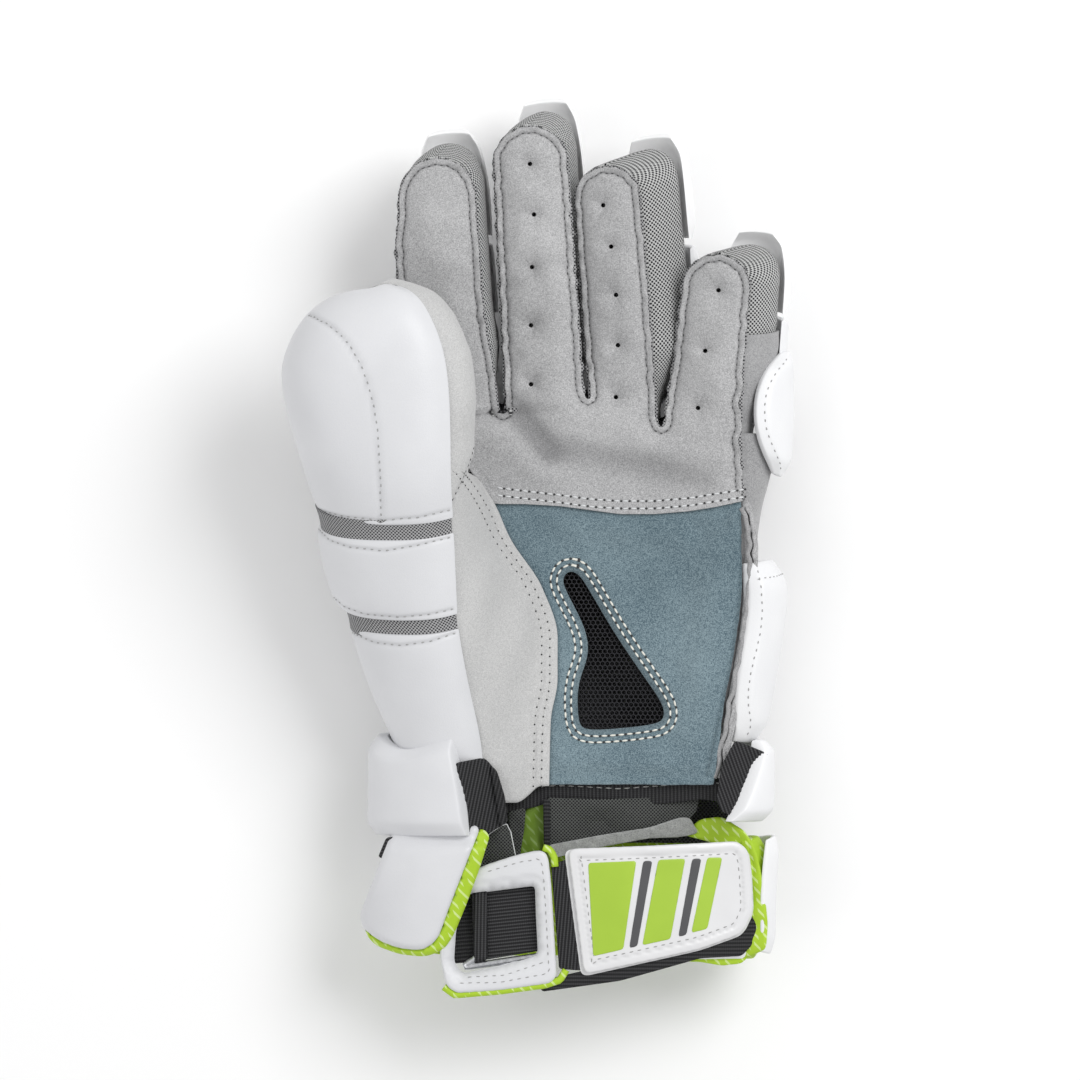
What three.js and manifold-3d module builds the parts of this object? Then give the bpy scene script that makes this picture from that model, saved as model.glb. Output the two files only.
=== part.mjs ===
// A left-hand lacrosse glove, lying on its padded back with the palm up.
// Millimetres, +X towards the little finger, +Y towards the fingertips, +Z out of the palm.
import * as THREE from "three";
import { mergeVertices } from "three/addons/utils/BufferGeometryUtils.js";
import Module from "manifold-3d";

const wasm = await Module();
wasm.setup();

// Materials' thicknesses and the clearance between neighbours
const gap = 0.35;
const seatGap = 0.75;
const suede = 1.4;
const cloth = 1.2;
const fingerFoam = 9.5;
const handFoam = 12.5;
const thumbFoam = 10;
const thumbSideFoam = 15;
const cuffFoam = 8;
const liningThickness = 3;
const rubber = 2.4;
const webbing = 1.6;
const wireThickness = 2.6;

// The hand
const handLeft = -50.5;
const knuckleLine = 51;
const palmLength = 139;
const heelSeamDrop = 37;
const heelNarrowing = 9;
const skinEnd = -69;
const fingerSlot = 3.4;
const backHeight = 14.6;
const knuckleLift = 6;
const palmHeightAtMiddle = 41.5;
const palmCup = 9;
const ulnarBulge = 15;
const webLine = 31;

// The four fingers: sizes in millimetres, angles in degrees.
// forward moves the root along the hand and fork the slit before it, lean turns it away from the thumb, roll turns its face to the thumb,
// drift carries its back away from the thumb, and bulge fills the gusset on that side.
// root and deep are the root's width and depth as shares.
const fingers = [
  {
    name: "index", length: 93, width: 29, depth: 23, forward: -2, fork: 0, lean: -3.2,
    roll: 7, drift: 3, bulge: 0.14, curl: 16, root: 1.2, deep: 1.25,
  },
  {
    name: "middle", length: 103, width: 28.6, depth: 23, forward: 0, fork: -2, lean: -3.4,
    roll: 9, drift: 4, bulge: -0.06, curl: 17, root: 0.99, deep: 1.05,
  },
  {
    name: "ring", length: 91.5, width: 25, depth: 22, forward: -3, fork: 3.5, lean: -4.6,
    roll: 24, drift: 12, bulge: 0.14, curl: 15, root: 0.93, deep: 1.05,
  },
  {
    name: "little", length: 64, width: 25.6, depth: 21, forward: -8, fork: -8.3, lean: 5.5,
    roll: 26, drift: 7, bulge: 0.16, curl: 11, root: 1.06, deep: 1.25,
  },
];
const seamShare = 0.87;
const faceCrown = 1.4;
const rootBlend = 26;
const tipReach = 4.5;
const tipRound = 0.46;

// The thumb, and the closed row where it leaves the hand
const thumbWidth = 56;
const thumbDepth = 31;
const thumbHeight = 71;
const thumbTop = 97;
const thumbTilt = -0.23;
const thumbFold = 46;
const thumbEnd = 232;

// The cuff that flares below the wrist
const cuffMiddle = 11.5;
const cuffHeight = 36.1;
const cuffHalfWidth = 68;
const cuffHalfHeight = 26.5;
const rollLength = 35;
const rollTop = -71.5;
const flapLength = 44;
const flapFlare = 3;
const strapHeight = 52;
const strapWidth = 49;

// Small helpers
const rad = THREE.MathUtils.degToRad;
const clamp = THREE.MathUtils.clamp;
const smooth = (t) => THREE.MathUtils.smoothstep(t, 0, 1);
const lerp = THREE.MathUtils.lerp;
const point = (x, y, z) => new THREE.Vector3(x, y, z);
const steps = (from, to, count) => Array.from({ length: count + 1 }, (_, i) => lerp(from, to, i / count));

// A value read from rows of a table, by straight lines between the rows
function between(rows, at, key, value) {
  if (at <= rows[0][key]) return rows[0][value];
  for (let i = 1; i < rows.length; i++) {
    const [a, b] = [rows[i - 1], rows[i]];
    if (at <= b[key]) return lerp(a[value], b[value], (at - a[key]) / (b[key] - a[key]));
  }
  return rows[rows.length - 1][value];
}

// A power that keeps its sign, for sections between an ellipse and a rectangle
const boxy = (value, squareness) => Math.sign(value) * Math.abs(value) ** (2 / squareness);

// Closed solids from grids of points
function volumeOf(points, faces) {
  let sum = 0;
  const cross = point(0, 0, 0);
  for (let i = 0; i < faces.length; i += 3) {
    const [a, b, c] = [points[faces[i]], points[faces[i + 1]], points[faces[i + 2]]];
    sum += a.dot(cross.crossVectors(b, c));
  }
  return sum / 6;
}

function geometryOf(points, faces) {
  if (volumeOf(points, faces) < 0) {
    for (let i = 0; i < faces.length; i += 3) [faces[i + 1], faces[i + 2]] = [faces[i + 2], faces[i + 1]];
  }
  const geometry = new THREE.BufferGeometry().setFromPoints(points);
  geometry.setIndex(faces);
  return geometry;
}

function between2Grids(outer, inner) {
  const rows = outer.length;
  const cols = outer[0].length;
  const points = [...outer.flat(), ...inner.flat()];
  const id = (side, i, j) => side * rows * cols + i * cols + j;
  const faces = [];
  const quad = (a, b, c, d) => faces.push(a, b, c, a, c, d);
  for (let i = 0; i + 1 < rows; i++) {
    for (let j = 0; j + 1 < cols; j++) {
      quad(id(0, i, j), id(0, i + 1, j), id(0, i + 1, j + 1), id(0, i, j + 1));
      quad(id(1, i, j), id(1, i, j + 1), id(1, i + 1, j + 1), id(1, i + 1, j));
    }
  }
  const border = [];
  for (let j = 0; j < cols - 1; j++) border.push([0, j]);
  for (let i = 0; i < rows - 1; i++) border.push([i, cols - 1]);
  for (let j = cols - 1; j > 0; j--) border.push([rows - 1, j]);
  for (let i = rows - 1; i > 0; i--) border.push([i, 0]);
  border.forEach(([i, j], k) => {
    const [m, n] = border[(k + 1) % border.length];
    quad(id(0, i, j), id(0, m, n), id(1, m, n), id(1, i, j));
  });
  return geometryOf(points, faces);
}

// A sheet of even thickness whose inner face is at(u, v)
function sheet(at, us, vs, thickness) {
  const inner = us.map((u) => vs.map((v) => at(u, v)));
  const outer = inner.map((row, i) =>
    row.map((p, j) => p.clone().addScaledVector(gridNormal(inner, i, j), thickness)),
  );
  return between2Grids(outer, inner);
}

function gridNormal(grid, i, j) {
  const up = grid[Math.min(i + 1, grid.length - 1)][j].clone().sub(grid[Math.max(i - 1, 0)][j]);
  const row = grid[i];
  const along = row[Math.min(j + 1, row.length - 1)].clone().sub(row[Math.max(j - 1, 0)]);
  return up.cross(along).normalize();
}

// A foam pad on the surface seat(x, y), with x and y from -1 to 1. It thins to half at its edges,
// and round takes its corners off: 0 leaves a square and 1 makes a disc.
const padLines = [-1, -0.8, 0, 0.8, 1];
const edgeShare = (t) => 1 - 0.5 * smooth((Math.abs(t) - 0.7) / 0.3);

function pad(seat, push, thickness, round = 0.25, xs = padLines, ys = padLines) {
  const share = typeof thickness === "function" ? thickness : () => thickness;
  const grid = (height) =>
    xs.map((x) =>
      ys.map((y) => {
        const [u, v] = [x * Math.sqrt(1 - (round * y * y) / 2), y * Math.sqrt(1 - (round * x * x) / 2)];
        const t = height * share(u, v) * edgeShare(x) * edgeShare(y);
        return seat(u, v).addScaledVector(push(u, v), t);
      }),
    );
  return between2Grids(grid(1), grid(0));
}

function solidOf(geometry) {
  const bare = geometry.clone();
  bare.deleteAttribute("normal");
  bare.deleteAttribute("uv");
  const merged = mergeVertices(bare, 1e-4);
  return new wasm.Manifold(
    new wasm.Mesh({
      numProp: 3,
      vertProperties: merged.attributes.position.array,
      triVerts: new Uint32Array(merged.index.array),
    }),
  );
}

function geometryFrom(solid) {
  const mesh = solid.getMesh();
  const geometry = new THREE.BufferGeometry();
  geometry.setAttribute("position", new THREE.BufferAttribute(mesh.vertProperties, 3));
  geometry.setIndex(new THREE.BufferAttribute(mesh.triVerts, 1));
  return geometry;
}

const joined = (list) => geometryFrom(list.map(solidOf).reduce((a, b) => a.add(b)));

// A tall prism over an outline in X and Y, to cut sheets with
function prism(outline) {
  const geometry = new THREE.ExtrudeGeometry(new THREE.Shape(outline), { depth: 300, bevelEnabled: false });
  return geometry.translate(0, 0, -100);
}

// The floor presses the pads of the back flat
const floorCut = 1.2;

function flattened(geometry) {
  const block = new THREE.BoxGeometry(600, 600, 300).translate(0, 0, 150 + floorCut);
  return geometryFrom(solidOf(geometry).intersect(solidOf(block)));
}

const cutBy = (geometry, outline) => geometryFrom(solidOf(geometry).subtract(solidOf(prism(outline))));
const trimTo = (geometry, outline) => geometryFrom(solidOf(geometry).intersect(solidOf(prism(outline))));

// The lie of the fingers: each root stands beside the one before it
let nextLeft = handLeft;
for (const finger of fingers) {
  const rootWidth = finger.width * finger.root;
  finger.rootX = nextLeft + rootWidth / 2;
  finger.rootY = knuckleLine + finger.forward;
  finger.along = point(Math.sin(rad(finger.lean)), Math.cos(rad(finger.lean)), 0);
  finger.across = point(finger.along.y, -finger.along.x, 0);
  nextLeft += rootWidth + fingerSlot;
}
const handRight = nextLeft - fingerSlot;
const palmMiddle = (handLeft + handRight) / 2;
const palmHalf = (handRight - handLeft) / 2;
const heelSeam = knuckleLine - heelSeamDrop;
const palmEnd = knuckleLine - palmLength;

// Height of the palm's outer face, for the hand and for each finger
const handFace = (x) => palmHeightAtMiddle + palmCup * ((x - palmMiddle) / palmHalf) ** 2;

function fingerFace(finger, s, u) {
  const x = finger.rootX + finger.along.x * s + finger.across.x * u;
  const own =
    handFace(finger.rootX) +
    finger.curl * (s / finger.length) ** 2 * Math.sign(s) +
    Math.tan(rad(finger.roll)) * u -
    faceCrown * ((2 * u) / finger.width) ** 2;
  return lerp(handFace(x), own, smooth(s / rootBlend));
}

function facePoint(finger, s, u, drop) {
  const at = point(finger.rootX, finger.rootY, 0);
  at.addScaledVector(finger.along, s).addScaledVector(finger.across, u);
  return at.setZ(fingerFace(finger, s, u) - drop);
}

// Half of a finger face's width along it, closing round the tip
function faceHalf(finger, s) {
  const body = lerp(finger.root, 0.99, smooth(s / (0.45 * finger.length))) - 0.06 * smooth(s / finger.length);
  return (finger.width / 2) * body * Math.sqrt(1 - tipShare(finger, s) ** 2);
}

// How far a place is into the finger's rounded tip, and the rows that every sheet of a finger is built on
function tipShare(finger, s) {
  const round = tipRound * finger.width;
  return clamp((s - (finger.length - round)) / round, 0, 1);
}

function fingerStations(finger) {
  const round = tipRound * finger.width;
  const tip = finger.length - round;
  return [...steps(0.5, tip, 5), tip + round * 0.5, tip + round * 0.85, tip + round * 0.9997];
}

// The gusset and backing of a finger run from the seam under the face, round the back, to the other seam.
// Each row gives shares: across of the face's half width, down of the finger's depth, fill of its bulge.
const gussetRows = [
  { across: -1.0, down: 0.0, fill: 0 },
  { across: -1.1, down: 0.22, fill: 0 },
  { across: -1.08, down: 0.55, fill: 0 },
  { across: -0.9, down: 0.86, fill: 0 },
  { across: -0.4, down: 1.0, fill: 0 },
  { across: 0.4, down: 1.0, fill: 0 },
  { across: 0.9, down: 0.86, fill: 0.3 },
  { across: 1.0, down: 0.55, fill: 0.95 },
  { across: 1.0, down: 0.22, fill: 1 },
  { across: 1.0, down: 0.0, fill: 0 },
];
for (const finger of fingers) {
  const places = gussetRows.map((row) => point(row.across + row.fill * finger.bulge, row.down, 0));
  finger.section = new THREE.CatmullRomCurve3(places);
}

function fingerFrame(finger, s) {
  const drop = suede + 0.65 * cloth + gap;
  const half = faceHalf(finger, s) * seamShare;
  const left = facePoint(finger, s, -half, drop);
  const right = facePoint(finger, s, half, drop);
  const side = right.clone().sub(left);
  const middle = left.clone().add(right).multiplyScalar(0.5);
  const ahead = facePoint(finger, s + 2, 0, drop).sub(facePoint(finger, s - 2, 0, drop)).normalize();
  const across = side.clone().normalize();
  return { middle, across, down: ahead.clone().cross(across).normalize(), half: side.length() / 2 };
}

function fingerSkin(finger, s, q) {
  const { middle, across, down, half } = fingerFrame(finger, s);
  const shape = finger.section.getPoint(q);
  const t = tipShare(finger, s);
  const body = lerp(finger.deep, 1, smooth(s / (0.4 * finger.length))) - 0.06 * smooth(s / finger.length);
  const depth = finger.depth * body * (1 - 0.8 * t ** 4) ** (1 / 3);
  return middle
    .addScaledVector(across, shape.x * half + shape.y * finger.drift * smooth(s / rootBlend))
    .addScaledVector(down, shape.y * depth)
    .addScaledVector(finger.along, shape.y * tipReach * smooth(t * 2));
}

function normalOf(at, u, v, du, dv) {
  const along = at(u + du, v).sub(at(u - du, v));
  const round = at(u, v + dv).sub(at(u, v - dv));
  return along.cross(round).normalize();
}

function fingerShell(finger) {
  return sheet((s, q) => fingerSkin(finger, s, q), fingerStations(finger), steps(0, 1, 11), cloth);
}

// Three foam pads along the back of each finger, as shares of its length. span is half a pad's share of the
// way round, lift clears the cloth, and ahead carries a pad's front edge past the fingertip.
const padRows = [
  { part: "base", from: 0.05, to: 0.33, span: 0.16, round: 0.25, lift: 1.0, ahead: 0 },
  { part: "middle", from: 0.36, to: 0.62, span: 0.188, round: 0.25, lift: 1.1, ahead: 0 },
  { part: "tip", from: 0.65, to: 0.965, span: 0.182, round: 0.45, lift: 1.2, ahead: 0.8 },
];
const driftLift = 0.06;

function fingerPad(finger, row) {
  const at = (s, q) => fingerSkin(finger, s, q);
  const place = (x, y) => [lerp(row.from, row.to, (y + 1) / 2) * finger.length, 0.5 + row.span * x];
  const seat = (x, y) => {
    const [s, q] = place(x, y);
    const lift = cloth + row.lift + driftLift * finger.drift;
    return at(s, q)
      .addScaledVector(normalOf(at, s, q, 1, 0.02), lift)
      .addScaledVector(finger.along, row.ahead * ((y + 1) / 2) ** 3);
  };
  const push = (x, y) => fingerFrame(finger, place(x, y)[0]).down;
  return pad(seat, push, fingerFoam, row.round);
}

// The palm's right edge narrows from the knuckles to the heel
const rightEdgeRows = [
  { y: 0.0, inset: 0.0 },
  { y: 0.46, inset: -0.15 },
  { y: 0.62, inset: 0.1 },
  { y: 0.8, inset: 0.6 },
  { y: 1.0, inset: 1.0 },
];
const palmShare = (y) => (knuckleLine - y) / palmLength;
const palmRight = (y) => handRight - heelNarrowing * between(rightEdgeRows, palmShare(y), "y", "inset");

// Where the thumb's leather meets the palm's, as shares of the palm's length and half width
const thumbSeamRows = [
  { y: 0.02, x: -1.0 },
  { y: 0.08, x: -0.9 },
  { y: 0.16, x: -0.63 },
  { y: 0.25, x: -0.48 },
  { y: 0.35, x: -0.37 },
  { y: 0.48, x: -0.18 },
  { y: 0.61, x: -0.09 },
  { y: 0.72, x: -0.09 },
  { y: 0.83, x: -0.13 },
  { y: 1.0, x: -0.14 },
];
const thumbSeam = (y) => palmMiddle + palmHalf * between(thumbSeamRows, palmShare(y), "y", "x");

// Both leathers are built on the seam's own rows, so that their edges stay side by side
function seamRows(from, to) {
  const knots = thumbSeamRows.map((row) => knuckleLine - row.y * palmLength);
  return [from, ...knots.filter((y) => y > from + 1 && y < to - 1).reverse(), to];
}

// A leather panel of the palm between two edges, with its face on the palm's height
function palmSheet(left, right, ys, columns, thickness, sink = 0) {
  const at = (y, k) => {
    const x = lerp(left(y), right(y), k);
    return point(x, y, handFace(x) - thickness - sink);
  };
  return between2Grids(
    ys.map((y) => steps(0, 1, columns).map((k) => at(y, k).add(point(0, 0, thickness)))),
    ys.map((y) => steps(0, 1, columns).map((k) => at(y, k))),
  );
}

const handEnd = knuckleLine - 9;
const lap = 0.5;

// The finger faces and the forks sink a little into the hand's leather, so that they join it along clean lines
function palmPanel() {
  const strips = fingers.map((finger) => {
    const rows = [handEnd - 1.8, handEnd - 0.4].map((y) => y - finger.rootY);
    const grid = (drop) =>
      [...rows, ...fingerStations(finger)].map((s, i) => {
        const [narrow, sink] = i < rows.length ? [0.94, lap] : [1, 0];
        const half = Math.max(narrow * faceHalf(finger, s), 1.5);
        return steps(-1, 1, 4).map((k) => facePoint(finger, s, k * half, drop + sink));
      });
    return between2Grids(grid(0), grid(suede));
  });
  const forks = fingers.slice(1).map((finger, i) => {
    const fork = knuckleLine + finger.fork;
    const [x0, x1] = [fingers[i].rootX, finger.rootX];
    return palmSheet(() => x0, () => x1, steps(fork - 14, fork, 2), 4, suede, lap / 2);
  });
  const left = (y) => thumbSeam(y) + 2.5 * gap;
  const hand = palmSheet(left, palmRight, seamRows(heelSeam + gap, handEnd), 10, suede);
  return joined([...strips, ...forks, hand]);
}

// The air vent: a rounded triangle with a long neck. Shares of its own width and length.
const ventLength = 59;
const ventWidth = 38;
const ventLeft = 8;
const ventTop = -9;
const ventRim = 4;
const ventRows = [
  { x: 0.06, y: 0.0 },
  { x: 0.17, y: 0.02 },
  { x: 0.3, y: 0.16 },
  { x: 0.5, y: 0.38 },
  { x: 0.75, y: 0.62 },
  { x: 0.98, y: 0.83 },
  { x: 1.0, y: 0.92 },
  { x: 0.93, y: 0.96 },
  { x: 0.55, y: 0.99 },
  { x: 0.22, y: 1.0 },
  { x: 0.16, y: 0.95 },
  { x: 0.15, y: 0.72 },
  { x: 0.27, y: 0.52 },
  { x: 0.23, y: 0.36 },
  { x: 0.06, y: 0.15 },
  { x: 0.0, y: 0.06 },
];

function ventOutline(grow) {
  const middle = new THREE.Vector2(ventLeft + 0.42 * ventWidth, ventTop - 0.6 * ventLength);
  return ventRows.map((row) => {
    const at = new THREE.Vector2(ventLeft + row.x * ventWidth, ventTop - row.y * ventLength);
    const away = at.clone().sub(middle);
    return at.addScaledVector(away.normalize(), grow);
  });
}

function heelPanel() {
  const left = (y) => thumbSeam(y) + gap;
  const panel = palmSheet(left, palmRight, seamRows(palmEnd, heelSeam), 10, suede);
  return cutBy(panel, ventOutline(0));
}

function ventMesh() {
  const [x0, x1] = [ventLeft - 2 * ventRim, ventLeft + ventWidth + 2 * ventRim];
  const ys = steps(ventTop - ventLength - 2 * ventRim, ventTop + 2 * ventRim, 6);
  return trimTo(palmSheet(() => x0, () => x1, ys, 5, 0.8, suede + gap), ventOutline(ventRim));
}

// A folded tape round the palm's wrist edge
const bindingWidth = 9.5;

function palmBinding() {
  const left = () => thumbSeam(palmEnd) - 13;
  const right = () => palmRight(palmEnd) - 1;
  return palmSheet(left, right, steps(palmEnd - bindingWidth, palmEnd - gap, 2), 8, 2.2, 0.6);
}

// The hand's skin below the palm: from the right seam, round the back, to the left
const ulnarRows = [
  { y: 0.0, out: 1.0 },
  { y: 0.22, out: 1.0 },
  { y: 0.38, out: 0.75 },
  { y: 0.48, out: 0.5 },
  { y: 1.0, out: 0.45 },
];

function handSection(y) {
  const right = palmRight(y);
  const high = handFace(right) - suede - cloth - 2.5 * gap;
  const share = palmShare(y);
  const out = ulnarBulge * between(ulnarRows, share, "y", "out");
  const left = handLeft + 2.5 + 11 * smooth((share - 0.2) / 0.7);
  const low = backHeight + knuckleLift * smooth((0.3 - share) / 0.3);
  const sections = [
    [right - 2, high],
    [right + 0.5 * out, high - 4.5],
    [right + out, high - 14],
    [right + 0.78 * out, low + 9],
    [right - 8, low + 1.5],
    [palmMiddle + 4, low],
    [left + 24, low + 0.5],
    [left + 9, low + 3],
    [left + 0.5, low + 8.5],
    [left - 4, low + 18],
    [left - 1, handFace(left) - suede - 2],
  ];
  return new THREE.CatmullRomCurve3(sections.map(([x, z]) => point(x, y, z)));
}

const handSkin = (y, q) => handSection(y).getPoint(q);
const handOut = (y, q) => normalOf(handSkin, y, q, 1, 0.01).negate();
const ulnarEnd = 0.3;
const backEnd = 0.8;

// The hand's skin ends in a line that follows the roots of the fingers
const handTop = (q) => lerp(knuckleLine - 9.5, knuckleLine - 3.5, smooth((q - 0.42) / 0.05));

function handPart(from, to, columns, bottom = () => skinEnd) {
  const at = (k, q) => handSkin(lerp(handTop(q), bottom(q), k), q);
  return sheet(at, steps(0, 1, 7), steps(from, to, columns), cloth);
}

function handPad(q0, q1, y0, y1, thickness, round = 0.25, xs = padLines, ys = padLines, lift = 0) {
  const place = (x, y) => [lerp(y0, y1, (y + 1) / 2), lerp(q0, q1, (x + 1) / 2)];
  const seat = (x, y) => {
    const [at, q] = place(x, y);
    return handSkin(at, q).addScaledVector(handOut(at, q), cloth + seatGap + lift);
  };
  return pad(seat, (x, y) => handOut(...place(x, y)), thickness, round, xs, ys);
}

// The thumb's sections. Rows give shares: y of the way from the palm's end to the thumb's top,
// x of the palm's half width, z of the thumb's height, wide and deep of its width and depth, turn in degrees.
const thumbRows = [
  { y: 0.0, x: -0.66, z: 0.47, wide: 0.76, deep: 1.1, turn: 20 },
  { y: 0.1, x: -0.66, z: 0.5, wide: 0.78, deep: 1.16, turn: 25 },
  { y: 0.2, x: -0.71, z: 0.55, wide: 0.84, deep: 1.22, turn: 28 },
  { y: 0.31, x: -0.78, z: 0.62, wide: 0.88, deep: 1.25, turn: 28 },
  { y: 0.42, x: -0.84, z: 0.7, wide: 0.91, deep: 1.23, turn: 25 },
  { y: 0.53, x: -0.89, z: 0.8, wide: 0.94, deep: 1.15, turn: 20 },
  { y: 0.64, x: -0.96, z: 0.94, wide: 0.97, deep: 1.03, turn: 16 },
  { y: 0.76, x: -1.03, z: 1.0, wide: 1.0, deep: 1.0, turn: 14 },
  { y: 0.87, x: -1.09, z: 1.02, wide: 0.93, deep: 1.0, turn: 13 },
  { y: 0.94, x: -1.14, z: 1.04, wide: 0.78, deep: 0.9, turn: 12 },
  { y: 0.98, x: -1.18, z: 1.05, wide: 0.62, deep: 0.66, turn: 12 },
  { y: 1.0, x: -1.2, z: 1.055, wide: 0.03, deep: 0.03, turn: 12 },
];

function thumbSkin(y, degrees, offset = 0) {
  const share = (y - palmEnd) / (thumbTop - palmEnd);
  const read = (key) => between(thumbRows, share, "y", key);
  const [c, s] = [boxy(Math.cos(rad(degrees)), 2.3), boxy(Math.sin(rad(degrees)), 2.3)];
  const a = (read("wide") * thumbWidth * c) / 2 + offset * c;
  const b = (read("deep") * thumbDepth * s) / 2 + offset * s;
  const turn = rad(read("turn"));
  const rise = a * Math.sin(turn) + b * Math.cos(turn);
  const cap = offset * smooth((share - 0.88) / 0.12) * 0.6;
  return point(
    palmMiddle + read("x") * palmHalf + a * Math.cos(turn) - b * Math.sin(turn),
    y + thumbTilt * rise * smooth((y - palmEnd) / 60) + cap,
    read("z") * thumbHeight + rise,
  );
}

// The thumb's leather: it closes the thumb above the web, and spreads over the heel of the hand below it
function thumbLeather(y, k) {
  const seam = thumbFold - gap / 2;
  const closed = thumbSkin(y, lerp(seam - 1.5, thumbEnd - 360 + 2, k));
  const open = smooth((webLine + 5 - y) / 12);
  if (open === 0) return closed;
  const top = thumbSkin(y, seam - 1.5);
  const flat = smooth((webLine - y) / 34);
  const edge = thumbSeam(y) - gap - lerp(suede, 0.4, flat);
  const low = point(edge, y, handFace(edge) - suede);
  const leave = point(22, 0, -7);
  const arrive = point(lerp(-14, 22, flat), 0, lerp(-26, -5, flat));
  const [k2, k3] = [k * k, k * k * k];
  const spread = top
    .multiplyScalar(2 * k3 - 3 * k2 + 1)
    .addScaledVector(leave, k3 - 2 * k2 + k)
    .addScaledVector(low, 3 * k2 - 2 * k3)
    .addScaledVector(arrive, k3 - k2);
  return closed.lerp(spread, open);
}

function thumbPalmPanel() {
  const rows = [...seamRows(palmEnd + 0.5, 37), 46, 58, 72, 84, 91, 95, thumbTop];
  return sheet(thumbLeather, rows.reverse(), steps(0, 1, 10), suede);
}

function thumbBacking() {
  const rows = [...steps(skinEnd, 82, 10), 86, 90, 94, thumbTop];
  return sheet((y, a) => thumbSkin(y, a), rows, steps(thumbFold, thumbEnd, 12), cloth);
}

function thumbPad(y0, y1, from, to, thickness, round, ys = padLines) {
  const place = (x, y) => [lerp(y0, y1, (y + 1) / 2), lerp(from, to, (x + 1) / 2)];
  const under = cloth + seatGap + 1.0;
  const seat = (x, y) => thumbSkin(...place(x, y), under);
  const push = (x, y) => {
    const at = place(x, y);
    return thumbSkin(...at, under + 1).sub(thumbSkin(...at, under)).normalize();
  };
  return pad(seat, push, thickness, round, [-1, -0.86, -0.5, -0.1, 0.3, 0.65, 0.88, 1], ys);
}

// Foam is thin along the leather seam, thickest on the thumb's outer side, and lower towards the tip and wrist
function thumbFoamAt(topShare, bottomShare, whole = 1) {
  return (x, y) => {
    const side = smooth((x + 1) / 1.1) * (1 - 0.35 * smooth((x - 0.35) / 0.65));
    const height = lerp(thumbFoam - 3, thumbSideFoam - 3, smooth((x + 0.5) / 0.8)) * side;
    const fade = y > 0 ? lerp(1, topShare, smooth(y)) : lerp(1, bottomShare, y * y);
    return 3 + height * fade * whole;
  };
}

// The cuff: an open bell round the wrist. Angles run from the right, over the top, to the left and the back.
function cuffSkin(degrees, y, offset) {
  const side = Math.cos(rad(degrees)) > 0 ? -1 : 1;
  const flare = flapFlare * side * smooth((rollTop - rollLength * 0.5 - y) / flapLength);
  return point(
    cuffMiddle + (cuffHalfWidth + offset + flare) * Math.cos(rad(degrees)),
    y,
    cuffHeight + (cuffHalfHeight + offset) * Math.sin(rad(degrees)),
  );
}

function cuffPad(a0, a1, y0, y1, seatOffset, thickness, round, xs = padLines, ys = padLines) {
  const place = (x, y) => [lerp(a0, a1, (x + 1) / 2), lerp(y0, y1, (y + 1) / 2)];
  const seat = (x, y) => cuffSkin(...place(x, y), seatOffset);
  const push = (x, y) => {
    const at = place(x, y);
    return cuffSkin(...at, seatOffset + 1).sub(cuffSkin(...at, seatOffset)).normalize();
  };
  return pad(seat, push, thickness, round, xs, ys);
}

// The three sides of the cuff, each with a roll over the wrist, a flap below it and the flap's lining
const rollBottom = rollTop - rollLength;
const cuffRows = [
  { side: "left", rollFrom: 121, rollTo: 198, from: 126, to: 190, columns: 5 },
  { side: "back", rollFrom: 214, rollTo: 324, from: 212, to: 326, columns: 8 },
  { side: "right", rollFrom: -28, rollTo: 12, from: -26, to: 15, columns: 4 },
];

// The strap across the wrist: flat pieces bent to one long arch
const strapTopX = cuffMiddle + 12;
const strapFall = (x) => (x < strapTopX ? 1.3 : 11.6);
const strapFace = (x) => strapHeight - strapFall(x) * ((x - strapTopX) / cuffHalfWidth) ** 2;

function strapSheet(outline, rise, thickness, columns = 4) {
  const xs = outline.map((p) => p.x);
  const ys = outline.map((p) => p.y);
  const [x0, x1] = [Math.min(...xs) - 1, Math.max(...xs) + 1];
  const [y0, y1] = [Math.min(...ys) - 1, Math.max(...ys) + 1];
  const grid = (up) =>
    steps(x0, x1, columns).map((x) => steps(y0, y1, 1).map((y) => point(x, y, strapFace(x) + up)));
  return trimTo(between2Grids(grid(rise + thickness), grid(rise)), outline);
}

// A four-sided outline with rounded corners, from its corners in order
function roundedOutline(corners, radius, count = 3) {
  return corners.flatMap((corner, i) => {
    const before = corners[(i + corners.length - 1) % corners.length];
    const after = corners[(i + 1) % corners.length];
    const toBefore = before.clone().sub(corner).setLength(radius);
    const toAfter = after.clone().sub(corner).setLength(radius);
    const bend = new THREE.QuadraticBezierCurve(corner.clone().add(toBefore), corner, corner.clone().add(toAfter));
    return bend.getPoints(count);
  });
}

const flat = (x, y) => new THREE.Vector2(x, y);
const strapTop = rollBottom - 3;
const strapBottom = strapTop - strapWidth;

function anchorCorners(inset) {
  return [
    flat(-36 + inset, strapBottom - 6 + inset),
    flat(9 - inset, strapBottom + 1 + inset),
    flat(5 - inset, strapTop - 1 - inset),
    flat(-30 + inset, strapTop - 12 - inset),
  ];
}

function anchorFrame() {
  const hole = roundedOutline(anchorCorners(8.5), 4);
  return cutBy(strapSheet(roundedOutline(anchorCorners(0), 7), 0, 3.2), hole);
}

// The moulded tab that closes the strap
const tabLeft = 11;
const tabLength = 68;
const tabCorners = (inset) => [
  flat(tabLeft + 5 + inset, strapBottom + 1.5 + inset),
  flat(tabLeft + 0.66 * tabLength, strapBottom + 8 + inset),
  flat(tabLeft + tabLength - inset, strapBottom + 21 + inset),
  flat(tabLeft + tabLength - 1 - inset, strapTop - inset),
  flat(tabLeft + inset, strapTop - 1 - inset),
];

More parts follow.
